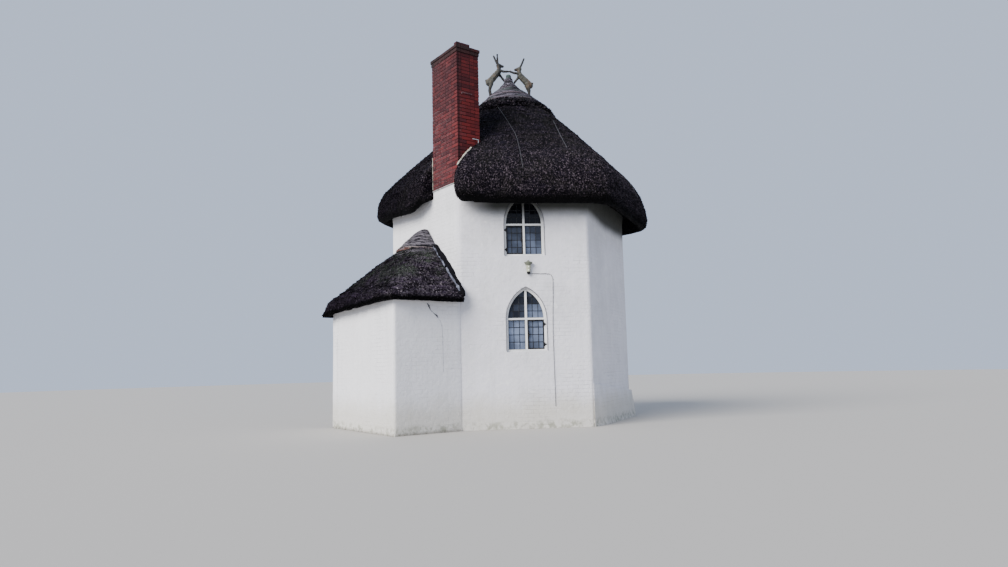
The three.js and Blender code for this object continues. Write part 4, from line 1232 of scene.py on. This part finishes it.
def makeAnnexCap():
    chance = random.Random(annexCap["seed"])
    cap = thatched("annex_cap_reeds", "annex_thatch_cap", thatch["capVoxel"], 3, "annexReed", "reed")
    low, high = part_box("annex_thatch_cap")[0].z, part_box("annex_thatch_cap")[1].z
    # Painted shade on the cap's underside, from the normals
    finishThatch(cap, 0.010, 0.008, annexApex, annexSlope, lambda vert: fade(vert.normal.z, 0.0, -0.3))
    tree = surfaceTree([cap, bpy.data.objects["annex_thatch_reeds"]])
    wallTurn = math.degrees(math.atan2(leftWall.along.y, leftWall.along.x))
    arc = (wallTurn - 174, wallTurn - 6)
    laid = strawMesh()
    for heights, (count, radius, dark) in (((low + 0.05, high - 0.03), annexCap["straws"]),
                                           ((low - 0.12, low), annexCap["footStraws"])):
        addStraws(laid, tree, annexApex, heights, arc, count, radius, chance, lambda z: dark)
    place("annex_cap_straws", laid, "annexReed", "reed", (), 60)
    pale = bmesh.new()
    for drop, radius in annexCap["cord"]:
        line = ringOn(tree, annexApex, lambda part: low + 0.012 - drop + 0.10 * fade(part, 0.75, 0.33),
                      *arc, 60, 0.004)
        addRope(pale, line, radius, 22)
    place("annex_cap_cord", pale, "paleCord", "reed", (), 60)
    band = bmesh.new()
    for drop, radius in annexCap["band"]:
        line = ringOn(tree, annexApex, lambda part: low + 0.112 - drop - 0.03 * part,
                      arc[0] + 20, arc[1] - 62, 40, 0.003)
        addRope(band, line, radius, 20)
    place("annex_cap_band", band, "band", "reed", (), 60)
    print("annex cap done")


# Seams of the wire netting, as the camera sees them on the roof
seamSpots = (
    ((494, 102), (500, 110), (506, 119), (511, 127), (516, 136), (519, 147), (521, 157), (523, 168)),
    ((553, 121), (557, 129), (562, 139), (567, 148)),
)
hiddenSeams = ((-20, -16, 7.1, 5.0), (40, 42, 7.1, 4.9), (100, 98, 7.1, 4.9), (160, 156, 7.1, 5.0))


def makeNetting(mainTree):
    wire = bmesh.new()
    eye = Vector(view["place"])
    for spots in seamSpots:
        route = smoothLine([Vector((*spot, 0)) for spot in spots], 7)
        hits = [mainTree.ray_cast(eye, sightOf(spot)) for spot in route]
        addRope(wire, [hit[0] + hit[1] * 0.010 for hit in hits if hit[0]], 0.0065, 20)
    for start, end, top, bottom in hiddenSeams:
        line = []
        for i in range(46):
            share = i / 45
            angle = math.radians(start + (end - start) * share + 0.5 * math.sin(i * 1.9))
            way = Vector((math.cos(angle), math.sin(angle), 0))
            hit = mainTree.ray_cast(mainAxis + way * 6 + up * (top + (bottom - top) * share), -way)
            if hit[0]:
                line.append(hit[0] + hit[1] * 0.012)
        addRope(wire, line, 0.0075, 18)
    place("netting_seams", wire, "wire", "iron", (), 60)
    print("netting done")


def skirt(mesh, rows, thickness):
    # A thin sheet through rows of points: a grid is laid out and its points are moved into place
    across = len(rows[0])
    made = bmesh.ops.create_grid(mesh, x_segments=across - 1, y_segments=len(rows) - 1, size=1.0)
    verts = sorted(made["verts"], key=lambda vert: (round(vert.co.y, 4), round(vert.co.x, 4)))
    for vert, spot in zip(verts, [spot for row in rows for spot in row]):
        vert.co = spot
    faces = list({face for vert in verts for face in vert.link_faces})
    bmesh.ops.recalc_face_normals(mesh, faces=faces)
    bmesh.ops.solidify(mesh, geom=faces, thickness=thickness)


flashing = {
    "spans": {"near": (0.17, 1.62), "far": (0.03, -1.62)}, "steps": 36, "radii": (0.034, 0.050), "swell": 0.024,
    "lift": 0.045, "endRadii": (0.045, 0.055, 0.055, 0.04), "stripWide": 0.068, "stripRagged": 0.013,
    "pieces": ((9, 23), (23, 36)), "seed": 5,
}


def makeFlashing(annexTree):
    # Against the wall the lean-to's thatch is closed with a dark fillet, and with a pale strip on the near side
    chance = random.Random(flashing["seed"])
    steps, wide, ragged = flashing["steps"], flashing["stripWide"], flashing["stripRagged"]
    for side, (first, last) in flashing["spans"].items():
        line, radii, rows = [], [], []
        for i in range(steps + 1):
            along = first + (last - first) * i / steps
            hit = annexTree.ray_cast(leftWall.point(along, 4.6, 0.03), -up)[0]
            if not hit:
                continue
            swell = math.sin(math.pi * i / steps) if side == "near" else 0
            line.append(leftWall.point(along, hit.z + 0.016 + flashing["lift"] * swell, 0.030))
            radii.append(chance.uniform(*flashing["radii"]) + flashing["swell"] * swell)
            reach = wide + chance.uniform(-ragged, ragged)
            outer = annexTree.ray_cast(leftWall.point(along, 4.6, 0.045 + reach), -up)[0] or hit
            high, low = line[-1].z + radii[-1] * 0.9, outer.z + 0.024
            rows.append([leftWall.point(along, high + (low - high) * k / 4 + chance.uniform(-0.007, 0.007),
                                        0.045 + reach * k / 4) for k in range(5)])
        if side == "near":
            radii[-len(flashing["endRadii"]):] = flashing["endRadii"]
            strip = bmesh.new()
            for start, stop in flashing["pieces"]:
                skirt(strip, rows[start:stop], 0.008)
            place("annex_flashing", strip, "leadStrip", "limewash", (), 60)
        fillet = bmesh.new()
        addTube(fillet, line, 0, 7, False, radii)
        place("annex_fillet_" + side, fillet, "tar", "limewash", (), 60)


collar = {
    "pale": (0.024, 0.036), "front": (0.012, 0.020), "back": (0.014, 0.026), "edge": (0.007, 0.012),
    "least": 4.9,
    "brackets": (((-0.010, 0.425, 5.85), (0.016, 0.15, 0.012)), ((-0.010, 0.492, 5.80), (0.016, 0.012, 0.11)),
                 ((1.09, -0.010, 5.40), (0.15, 0.016, 0.012))),
    "seed": 6,
}


def makeCollar(mainTree):
    chance = random.Random(collar["seed"])
    pale, dark = bmesh.new(), bmesh.new()
    routes = ((pale, [(-0.012, -0.01 + i * 0.03) for i in range(12)], collar["pale"]),
              (dark, [(-0.012, 0.32 + i * 0.03) for i in range(9)], collar["front"]),
              (dark, [(i * 0.05, stackDepth + 0.02) for i in range(21)], collar["back"]),
              (dark, [(stackLength + 0.015, 0.02 + i * 0.047) for i in range(12)], collar["back"]))
    for mesh, route, sizes in routes:
        line, radii = [], []
        for u, v in route:
            hit = mainTree.ray_cast(stackPlan.point(u - 0.03 if u < 0 else u, v, 8.4), -up)[0]
            if hit and hit.z > collar["least"]:
                line.append(stackPlan.point(u, v, hit.z + 0.004))
                radii.append(chance.uniform(*sizes))
        if len(line) > 3:
            addTube(mesh, line, 0, 7, False, radii)
    edge = [stackPlan.point(stackLength + 0.004, -0.003, 4.95 + i * 0.07) for i in range(11)]
    addTube(pale, edge, 0, 6, False, [chance.uniform(*collar["edge"]) for _ in edge])
    place("chimney_collar", pale, "cream", "limewash", (), 60)
    place("chimney_back_collar", dark, "tar", "limewash", (), 60)
    brackets = bmesh.new()
    for spot, size in collar["brackets"]:
        addBox(brackets, stackPlan.point(*spot), stackPlan.turn, size, 0.002)
    place("chimney_brackets", brackets, "zinc", "iron", (), 40)
    print("collar done")


# Hares

hares = {"voxel": 0.009, "smoothing": 3, "earFoot": 8.52, "earLean": 0.38}


def makeHares():
    for side in ("left", "right"):
        node = "hare_" + side
        piece = thatched("straw_" + node, node, hares["voxel"], hares["smoothing"], "straw", "straw")
        for vert in piece.data.vertices:
            lumps = noise.noise(vert.co * 24) * 0.008 + noise.noise(vert.co * 70) * 0.005
            vert.co += vert.normal * (lumps + 0.010)
            # The left hare's near ear leans back, so both ears show from the front
            over = vert.co.z - hares["earFoot"]
            if side == "left" and over > 0 and vert.co.y < 0 and vert.co.x < -0.17:
                vert.co.x += hares["earLean"] * over
        piece.data.update()
        thinPartShade = []  # painted shade: ears, nose, arms and shins are painted darker than the bodies, as thin parts show dark against the sky
        for vert in piece.data.vertices:
            x, z = vert.co.x + 0.03 * noise.noise(vert.co * 9), vert.co.z
            thinPartShade.append(max(fade(z, 8.42, 8.47), fade(z, 7.93, 7.86), fade(abs(x - 0.035), 0.245, 0.20)))
        setFloat(piece.data, "shade", thinPartShade)
    print("hares done")
# Windows

window = {
    "half": 0.405, "rise": 0.63, "frameWidth": 0.046, "mullionWidth": 0.040, "transomHeight": 0.036,
    "frameFace": -0.060, "frameBack": -0.105, "came": 0.012, "columns": 3, "rows": 4, "paneThick": 0.003,
    # panes of the other windows take a share of painted sky reflection between the two values given just below
    "tilt": 0.022, "liningGap": 0.003, "otherReflections": (0.12, 0.55), "seed": 19,
}
paneReflectionShares = {  # least and greatest share of painted sky reflection on front panes, in the two lowest rows of a light and above; near 0 is painted shade under the eave
    ("lower", "low"): ((0.55, 0.9), (0.55, 0.9)), ("lower", "archLeft"): ((0.05, 0.20), (0.05, 0.20)),
    ("lower", "archRight"): ((0.3, 0.75), (0.02, 0.2)), ("upper", "low"): ((0.26, 0.44), (0.18, 0.40)),
    ("upper", "archLeft"): ((0.0, 0.01), (0.0, 0.01)), ("upper", "archRight"): ((0.0, 0.01), (0.0, 0.01)),
}
glassFront = window["frameBack"] - 0.001


def bevelledCopy(node, name, finish, slot, offset):
    mesh = cadMesh(node)
    bmesh.ops.dissolve_limit(mesh, angle_limit=math.radians(2), verts=mesh.verts[:], edges=mesh.edges[:])
    edges = [e for e in mesh.edges if len(e.link_faces) == 2 and e.calc_face_angle(0) > math.radians(35)]
    bevelEdges(mesh, edges, offset)
    return place(name, mesh, finish, slot, [node], 35)


class WindowShape:
    # The pointed opening of one window: half its width at a height, its peak and its outline

    def __init__(self, wall, row):
        self.face = wallFaces[wall]
        low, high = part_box(f"window_frame_{wall}_{row}")
        self.sill, self.half = low.z, window["half"]
        self.spring = high.z - window["rise"]
        self.radius = (self.half ** 2 + window["rise"] ** 2) / (2 * self.half)

    def reach(self, height, inset):  # half width at a height, inside the edge by inset
        if height <= self.spring:
            return self.half - inset
        inner = self.radius - inset
        drop = inner ** 2 - (height - self.spring) ** 2
        return math.sqrt(max(drop, 0)) - (self.radius - self.half)

    def peak(self, inset):
        return self.spring + math.sqrt((self.radius - inset) ** 2 - (self.radius - self.half) ** 2)

    def outline(self, inset, steps=10):  # right half of the edge, from the springing up to the peak
        rise = self.peak(inset) - self.spring
        heights = [self.spring + rise * math.sin(math.pi / 2 * i / steps) for i in range(steps + 1)]
        return [(max(self.reach(height, inset), 0.0), height) for height in heights]


def paneCorners(shape, near, far, low, high):  # a pane as the arch leaves it, or nothing
    border = window["frameWidth"]
    corners = [(near, low), (min(far, shape.reach(low, border)), low)]
    if corners[1][0] <= near + 0.006:
        return []
    for k in range(1, 5):
        height = low + (high - low) * k / 4
        edge = min(far, shape.reach(height, border))
        if edge > near + 0.004:
            corners.append((edge, height))
    return corners + [(near, corners[-1][1])]


def layPane(panes, chance, face, side, corners, pale):  # one pane, a little out of true and with its own share of painted reflection
    tintLayer = panes.verts.layers.float["tint"]
    verts = [panes.verts.new(face.point(side * x, z, glassFront)) for x, z in corners]
    centre = sum((v.co for v in verts), Vector()) / len(verts)
    sway = Matrix.Rotation(chance.gauss(0, window["tilt"]), 3, up)
    tilt = sway @ Matrix.Rotation(chance.gauss(0, window["tilt"]), 3, face.along)
    tint = chance.uniform(*pale)
    for vert in verts:
        vert.co = centre + tilt @ (vert.co - centre)
        vert[tintLayer] = tint
    ring = panes.faces.new(verts if side > 0 else verts[::-1])
    grown = bmesh.ops.extrude_face_region(panes, geom=[ring])
    moved = [v for v in grown["geom"] if isinstance(v, bmesh.types.BMVert)]
    bmesh.ops.translate(panes, verts=moved, vec=-face.out * window["paneThick"])
    for vert in moved:
        vert[tintLayer] = tint


def layCames(cames, shape, side, foot, head, rows, near, width, arched):  # the lead between the panes
    face, border, came = shape.face, window["frameWidth"], window["came"]
    for level in range(rows + 1):
        height = foot + (head - foot) * level / rows
        reach = shape.reach(min(height, head - 0.01), border) + 0.01
        if reach > near + 0.02:
            middle = face.point(side * (near + reach) / 2, height, glassFront + 0.001)
            addBox(cames, middle, face.turn(), (reach - near + 0.01, came, 0.009), 0.002)
    for column in range(window["columns"] + 1):
        x, top = near + column * width, head
        while arched and shape.reach(top, border) < x and top > foot:
            top -= 0.01
        if top - foot > 0.03:
            middle = face.point(side * x, (foot + top) / 2, glassFront + 0.001)
            addBox(cames, middle, face.turn(), (came, top - foot + 0.01, 0.009), 0.002)


def makeWindow(wall, row, chance):
    label = f"{wall}_{row}"
    shape = WindowShape(wall, row)
    face, border = shape.face, window["frameWidth"]
    bevelledCopy("window_frame_" + label, "painted_frame_" + label, "whitePaint", "white_paint", 0.004)
    panes, cames = bmesh.new(), bmesh.new()
    panes.verts.layers.float.new("tint")
    mid, bar = window["mullionWidth"] / 2, window["transomHeight"] / 2
    width = (shape.half - border - mid) / window["columns"]
    lowTop = shape.spring - bar
    rowHeight = (lowTop - shape.sill - border) / window["rows"]
    for side, arch in ((-1, "archLeft"), (1, "archRight")):
        for light, foot, head in (("low", shape.sill + border, lowTop),
                                  (arch, shape.spring + bar, shape.peak(border))):
            rows = max(1, round((head - foot) / rowHeight))
            for level in range(rows):
                low, high = (foot + (head - foot) * step / rows for step in (level, level + 1))
                pale = paneReflectionShares[row, light][level > 1] if wall == "front" else window["otherReflections"]
                for column in range(window["columns"]):
                    near = mid + column * width
                    corners = paneCorners(shape, near, mid + (column + 1) * width, low, high)
                    if corners:
                        layPane(panes, chance, face, side, corners, pale)
            layCames(cames, shape, side, foot, head, rows, mid, width, light != "low")
    bmesh.ops.recalc_face_normals(panes, faces=panes.faces[:])
    place("leaded_panes_" + label, panes, "pane", "glass", ["window_glass_" + label])
    place("lead_cames_" + label, cames, "lead", "iron", (), 40)
    lining = bmesh.new()  # thin grey line round the opening
    gap = window["liningGap"]
    right = shape.outline(-gap)
    left = [(-x, z) for x, z in reversed(right[:-1])]
    foot = shape.sill + 0.02
    line = [(shape.half + gap, foot)] + right + left + [(-shape.half - gap, foot)]
    addTube(lining, [face.point(x, z, 0.001) for x, z in line], 0.0065)
    place("window_line_" + label, lining, "greyLine", "white_paint", (), 60)


def makeCasements():
    face, front = wallFaces["front"], window["frameFace"]
    for row, side in (("lower", 1), ("upper", -1)):
        node = "window_casement_front_" + row
        bevelledCopy(node, "iron_casement_" + row, "iron", "iron", 0.002)
        low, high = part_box(node)
        hinges = bmesh.new()
        outer, inner = (high.x, low.x) if side > 0 else (low.x, high.x)
        for share in (0.16, 0.84):
            height = low.z + (high.z - low.z) * share
            spot = face.point(outer + side * 0.004, height, front + 0.004)
            bmesh.ops.create_cone(hinges, cap_ends=True, segments=10, radius1=0.009, radius2=0.009, depth=0.07,
                                  matrix=Matrix.Translation(spot))
            strap = face.point(outer + side * 0.022, height, front + 0.002)
            addBox(hinges, strap, face.turn(), (0.036, 0.030, 0.004), 0.001)
        grip = face.point(inner + side * 0.03, (low.z + high.z) / 2, front - 0.004)
        addBox(hinges, grip, face.turn(), (0.014, 0.10, 0.010), 0.003)
        place("casement_hinges_" + row, hinges, "iron", "iron", (), 40)
    print("casements done")


def makeWindows():
    chance = random.Random(window["seed"])
    for wall in ("front", "back_right", "back_left"):
        for row in ("lower", "upper"):
            makeWindow(wall, row, chance)
    makeCasements()
    print("windows done")


# Lean-to walls

annexWalls = {"corner": 0.06}


def makeAnnexWalls():
    half, corner = leftWall.length / 2, annexWalls["corner"]
    reach = max(leftWall.local(v.co)[2] for v in cadNodes["annex_wall_outer"].data.vertices)
    innerFront, outerFront = leftWall.point(half, 0, 0), leftWall.point(half, 0, reach)
    innerRear, outerRear = leftWall.point(-half, 0, 0), leftWall.point(-half, 0, reach)
    outerFace = WallFace(outerRear, outerFront)
    faces = (("front", WallFace(outerFront, innerFront)), ("outer", outerFace),
             ("rear", WallFace(innerRear, outerRear)))
    for name, face in faces:
        node = "annex_wall_" + name
        mesh = cadMesh(node)
        (low, high), (_, top), _ = extent(mesh, face)
        gridCut(mesh, face, low, high, 0, top)
        gridCut(mesh, outerFace, half - 0.3, half, 0, 0.05)
        for vert in mesh.verts:
            along, _, out = leftWall.local(vert.co)
            shift = Vector()
            if abs(out - reach) < 1e-3:
                shift -= leftWall.out * surfaceWave(vert.co)
            if abs(abs(along) - half) < 1e-3:
                shift -= leftWall.along * math.copysign(surfaceWave(vert.co), along) * min(1.0, out / 0.2)
            toEnd, toOut = half - abs(along), reach - out
            if toOut < corner and toEnd < corner:  # rounds the corner
                edge = Vector((corner - toEnd, corner - toOut))
                if edge.length > corner:
                    pull = edge * (1 - corner / edge.length)
                    shift -= leftWall.along * math.copysign(pull.x, along) + leftWall.out * pull.y
            vert.co += shift
        layWallMap(mesh, face)
        place("annex_limewashed_" + name, mesh, "limewash", "limewash", [node], 50)
    print("lean-to walls done")


# Cracks in the front of the lean-to, as the camera sees them
cracks = {  # finish, sides, and spots of the picture, each with its radius
    "annex_crack": ("crack", 6, (((427, 303), 0.004), ((428.9, 306.0), 0.020), ((430.5, 310), 0.005),
                                 ((433.5, 313), 0.004), ((436.8, 315.7), 0.019), ((438, 318), 0.005))),
    "annex_hairline": ("hairline", 5, (((438, 318), 0.0028), ((440.5, 321.5), 0.0028), ((442, 327), 0.0028),
                                       ((442.8, 337), 0.0028), ((443, 352), 0.0028), ((443.4, 372), 0.0028))),
}


def makeCrack():
    tree = surfaceTree([bpy.data.objects["annex_limewashed_front"]])
    for name, (finish, sides, spots) in cracks.items():
        line = [tree.ray_cast(Vector(view["place"]), sightOf(spot))[0] for spot, _ in spots]
        if all(line):
            mesh = bmesh.new()
            addTube(mesh, line, 0, sides, False, [radius for _, radius in spots])
            place(name, mesh, finish, "limewash", (), 60)
    print("crack done")


# Door, step and floors

door = {
    "boards": 6, "groove": (0.004, 0.005), "hinges": (0.55, 1.75), "strap": (0.46, 0.045, 0.006),
    "ringHeight": 1.15, "ringRadius": 0.045, "wornEdge": 0.012,
}
floors = {"board": 0.18, "groove": (0.003, 0.004)}


def scored(mesh, point, normal, width, depth, inwards):
    # A v-shaped groove across a face, where boards meet
    for offset in (-width, 0, width):
        bisect(mesh, point + normal * offset, normal)
    for vert in mesh.verts:
        if abs((vert.co - point).dot(normal)) < 1e-4:
            way = inwards(vert.co)
            if way is not None:
                vert.co += way * depth


def makeDoor():
    face = wallFaces["back"]
    turn = face.turn()
    mesh = cadMesh("back_door")
    (low, high), _, (inner, outer) = extent(mesh, face)

    def inwards(point):
        out = face.local(point)[2]
        return -face.out if abs(out - outer) < 1e-4 else face.out if abs(out - inner) < 1e-4 else None

    for i in range(1, door["boards"]):
        along = low + (high - low) * i / door["boards"]
        scored(mesh, face.point(along, 0, 0), face.along, *door["groove"], inwards)
    place("plank_door", mesh, "doorPaint", "door_paint", ["back_door"], 20)
    bevelledCopy("door_frame", "painted_door_frame", "whitePaint", "white_paint", 0.004)
    iron = bmesh.new()
    for height in door["hinges"]:
        addBox(iron, face.point(low + 0.24, height, outer + 0.003), turn, door["strap"], 0.002)
        pin = Matrix.Translation(face.point(low - 0.002, height, outer + 0.008))
        bmesh.ops.create_cone(iron, cap_ends=True, segments=12, radius1=0.010, radius2=0.010, depth=0.09,
                              matrix=pin)
        for k in range(4):
            nail = Matrix.Translation(face.point(low + 0.07 + k * 0.11, height, outer + 0.007))
            bmesh.ops.create_uvsphere(iron, u_segments=8, v_segments=5, radius=0.008, matrix=nail)
    across, height, radius = high - 0.09, door["ringHeight"], door["ringRadius"]
    centre = face.point(across, height, outer + 0.02)
    angles = [2 * math.pi * k / 20 for k in range(20)]
    ring = [centre + face.along * radius * math.cos(angle) + up * radius * math.sin(angle) for angle in angles]
    addTube(iron, ring, 0.006, 8, True)
    addBox(iron, face.point(across, height + 0.04, outer + 0.006), turn, (0.05, 0.09, 0.008), 0.002)
    addBox(iron, face.point(across, height + 0.045, outer + 0.018), turn, (0.014, 0.02, 0.02), 0.003)
    place("door_ironwork", iron, "iron", "iron", (), 40)
    step = cadMesh("door_step")
    bmesh.ops.dissolve_limit(step, angle_limit=math.radians(2), verts=step.verts[:], edges=step.edges[:])
    bevelEdges(step, [e for e in step.edges if max(v.co.z for v in e.verts) > 0.1], door["wornEdge"], 3)
    place("worn_step", step, "stone", "floor", ["door_step"], 40)
    print("door done")


def makeFloors():
    for node in ("ground_floor", "annex_floor"):
        cadNodes[node].data.materials.clear()
        cadNodes[node].data.materials.append(finishes["stone"])
    mesh = cadMesh("upper_floor")
    low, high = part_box("upper_floor")

    def inwards(point):
        return -up if abs(point.z - high.z) < 1e-4 else up if abs(point.z - low.z) < 1e-4 else None

    count = int((high.y - low.y) / floors["board"])
    for i in range(1, count):
        joint = Vector((0, low.y + i * (high.y - low.y) / count, 0))
        scored(mesh, joint, Vector((0, 1, 0)), *floors["groove"], inwards)
    place("floor_boards", mesh, "boards", "boards", ["upper_floor"])
    print("floors done")


# Lamp and its cable

lamp = {
    "x": 0.06, "out": 0.04, "rim": 0.086, "hoodFoot": 0.108, "hoodRim": 0.050, "body": 0.047, "bodyFoot": 0.033,
    "bulbs": ((0.150, 0.017), (0.080, 0.019)),
}
cable = {"radius": 0.0045, "route": (
    (0.090, 3.034), (0.120, 3.035), (0.300, 3.033), (0.440, 3.030), (0.510, 3.008), (0.545, 2.940),
    (0.551, 2.860), (0.545, 2.600), (0.530, 2.200), (0.522, 1.800), (0.524, 1.300), (0.528, 0.800),
    (0.530, 0.420),
)}


def lampPart(name, profile, centre, finish):
    part = bmesh.new()
    spun(part, profile, centre)
    place(name, part, finish, "lamp_metal", (), 40)


def makeLamp():
    low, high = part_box("wall_lamp")
    foot, top = low.z, high.z
    centre = Vector((lamp["x"], -halfDepth - lamp["out"], 0))
    turn = wallFaces["front"].turn()
    wide, body, neck = lamp["rim"], lamp["body"], lamp["bodyFoot"]
    rim, hood = top - lamp["hoodRim"], top - lamp["hoodFoot"]
    lampPart("lamp_hood", [(0.0005, top), (0.010, top - 0.001), (0.020, top - 0.016), (0.050, rim + 0.012),
                           (wide, rim + 0.004), (wide, rim), (0.050, hood), (0.0005, hood)], centre, "lampShade")
    bulbs = bmesh.new()
    for height, size in lamp["bulbs"]:
        spot = centre + Vector((0, -neck - 0.002, foot + height))
        bmesh.ops.create_icosphere(bulbs, subdivisions=2, radius=size, matrix=Matrix.Translation(spot))
    place("lamp_bulbs", bulbs, "opal", "lamp_metal", (), 40)
    lampPart("lamp_glass", [(0.0005, hood + 0.002), (body, hood + 0.002), (0.044, hood - 0.06),
                            (neck, foot + 0.05), (0.0005, foot + 0.05)], centre, "lampGlass")
    lampPart("lamp_foot", [(0.0005, foot + 0.052), (0.036, foot + 0.052), (0.036, foot + 0.034),
                           (0.026, foot + 0.010), (0.012, foot), (0.0005, foot)], centre, "iron")
    bracket = bmesh.new()
    for y, z, size, bevel in ((0.031, (foot + rim) / 2 + 0.01, (0.056, rim - foot - 0.01, 0.017), 0.004),
                              (0.016, foot + 0.04, (0.02, 0.02, 0.03), 0.003)):
        addBox(bracket, centre + Vector((0, y, z)), turn, size, bevel)
    for side in (-1, 1):
        leg = [centre + Vector((side * x, -0.004, z)) for x, z in ((0.047, hood + 0.004), (0.034, foot + 0.046))]
        addTube(bracket, leg, 0.0035)
    place("lamp_frame", bracket, "enamel", "lamp_metal", ["wall_lamp"], 40)
    print("lamp done")


def makeCable():
    turn = wallFaces["front"].turn()
    cord, clips = bmesh.new(), bmesh.new()
    line = [Vector((x, -halfDepth - 0.005, z)) for x, z in cable["route"]]
    addTube(cord, smoothLine(line, 6), cable["radius"], 8)
    place("wall_cable", cord, "cable", "cable", ["lamp_cable"], 60)
    for before, spot, after in zip(line, line[1:], line[2:]):
        flat = abs(after.x - before.x) > abs(after.z - before.z)
        size = (0.008, 0.018, 0.012) if flat else (0.018, 0.008, 0.012)
        addBox(clips, (spot.x, -halfDepth - 0.006, spot.z), turn, size, 0.002)
    place("cable_clips", clips, "whitePaint", "cable", (), 40)
    print("cable done")


def makeFloorStage():
    ground = bmesh.new()
    bmesh.ops.create_circle(ground, cap_ends=True, segments=96, radius=view["floorSize"])
    floor = addObject("studioFloor", meshData("studioFloor", ground))
    finish = Finish("studioFloor", 0.9)
    finish.shader.inputs["Base Color"].default_value = (*view["floor"], 1)
    floor.data.materials.append(finish.material)
    floor.location.z = -0.001


makeView()
makeFloorStage()
makeWalls()
makeFooting()
makeAnnexWalls()
makeCrack()
makeChimney()
makeChimneyBase()
mainThatch = makeMainThatch()
annexThatch = makeAnnexThatch()
mainTree, annexTree = surfaceTree([mainThatch]), surfaceTree([annexThatch])
makeRoofCap()
makeAnnexCap()
makeNetting(mainTree)
makeFlashing(annexTree)
makeCollar(mainTree)
makeHares()
makeWindows()
makeDoor()
makeFloors()
makeLamp()
makeCable()
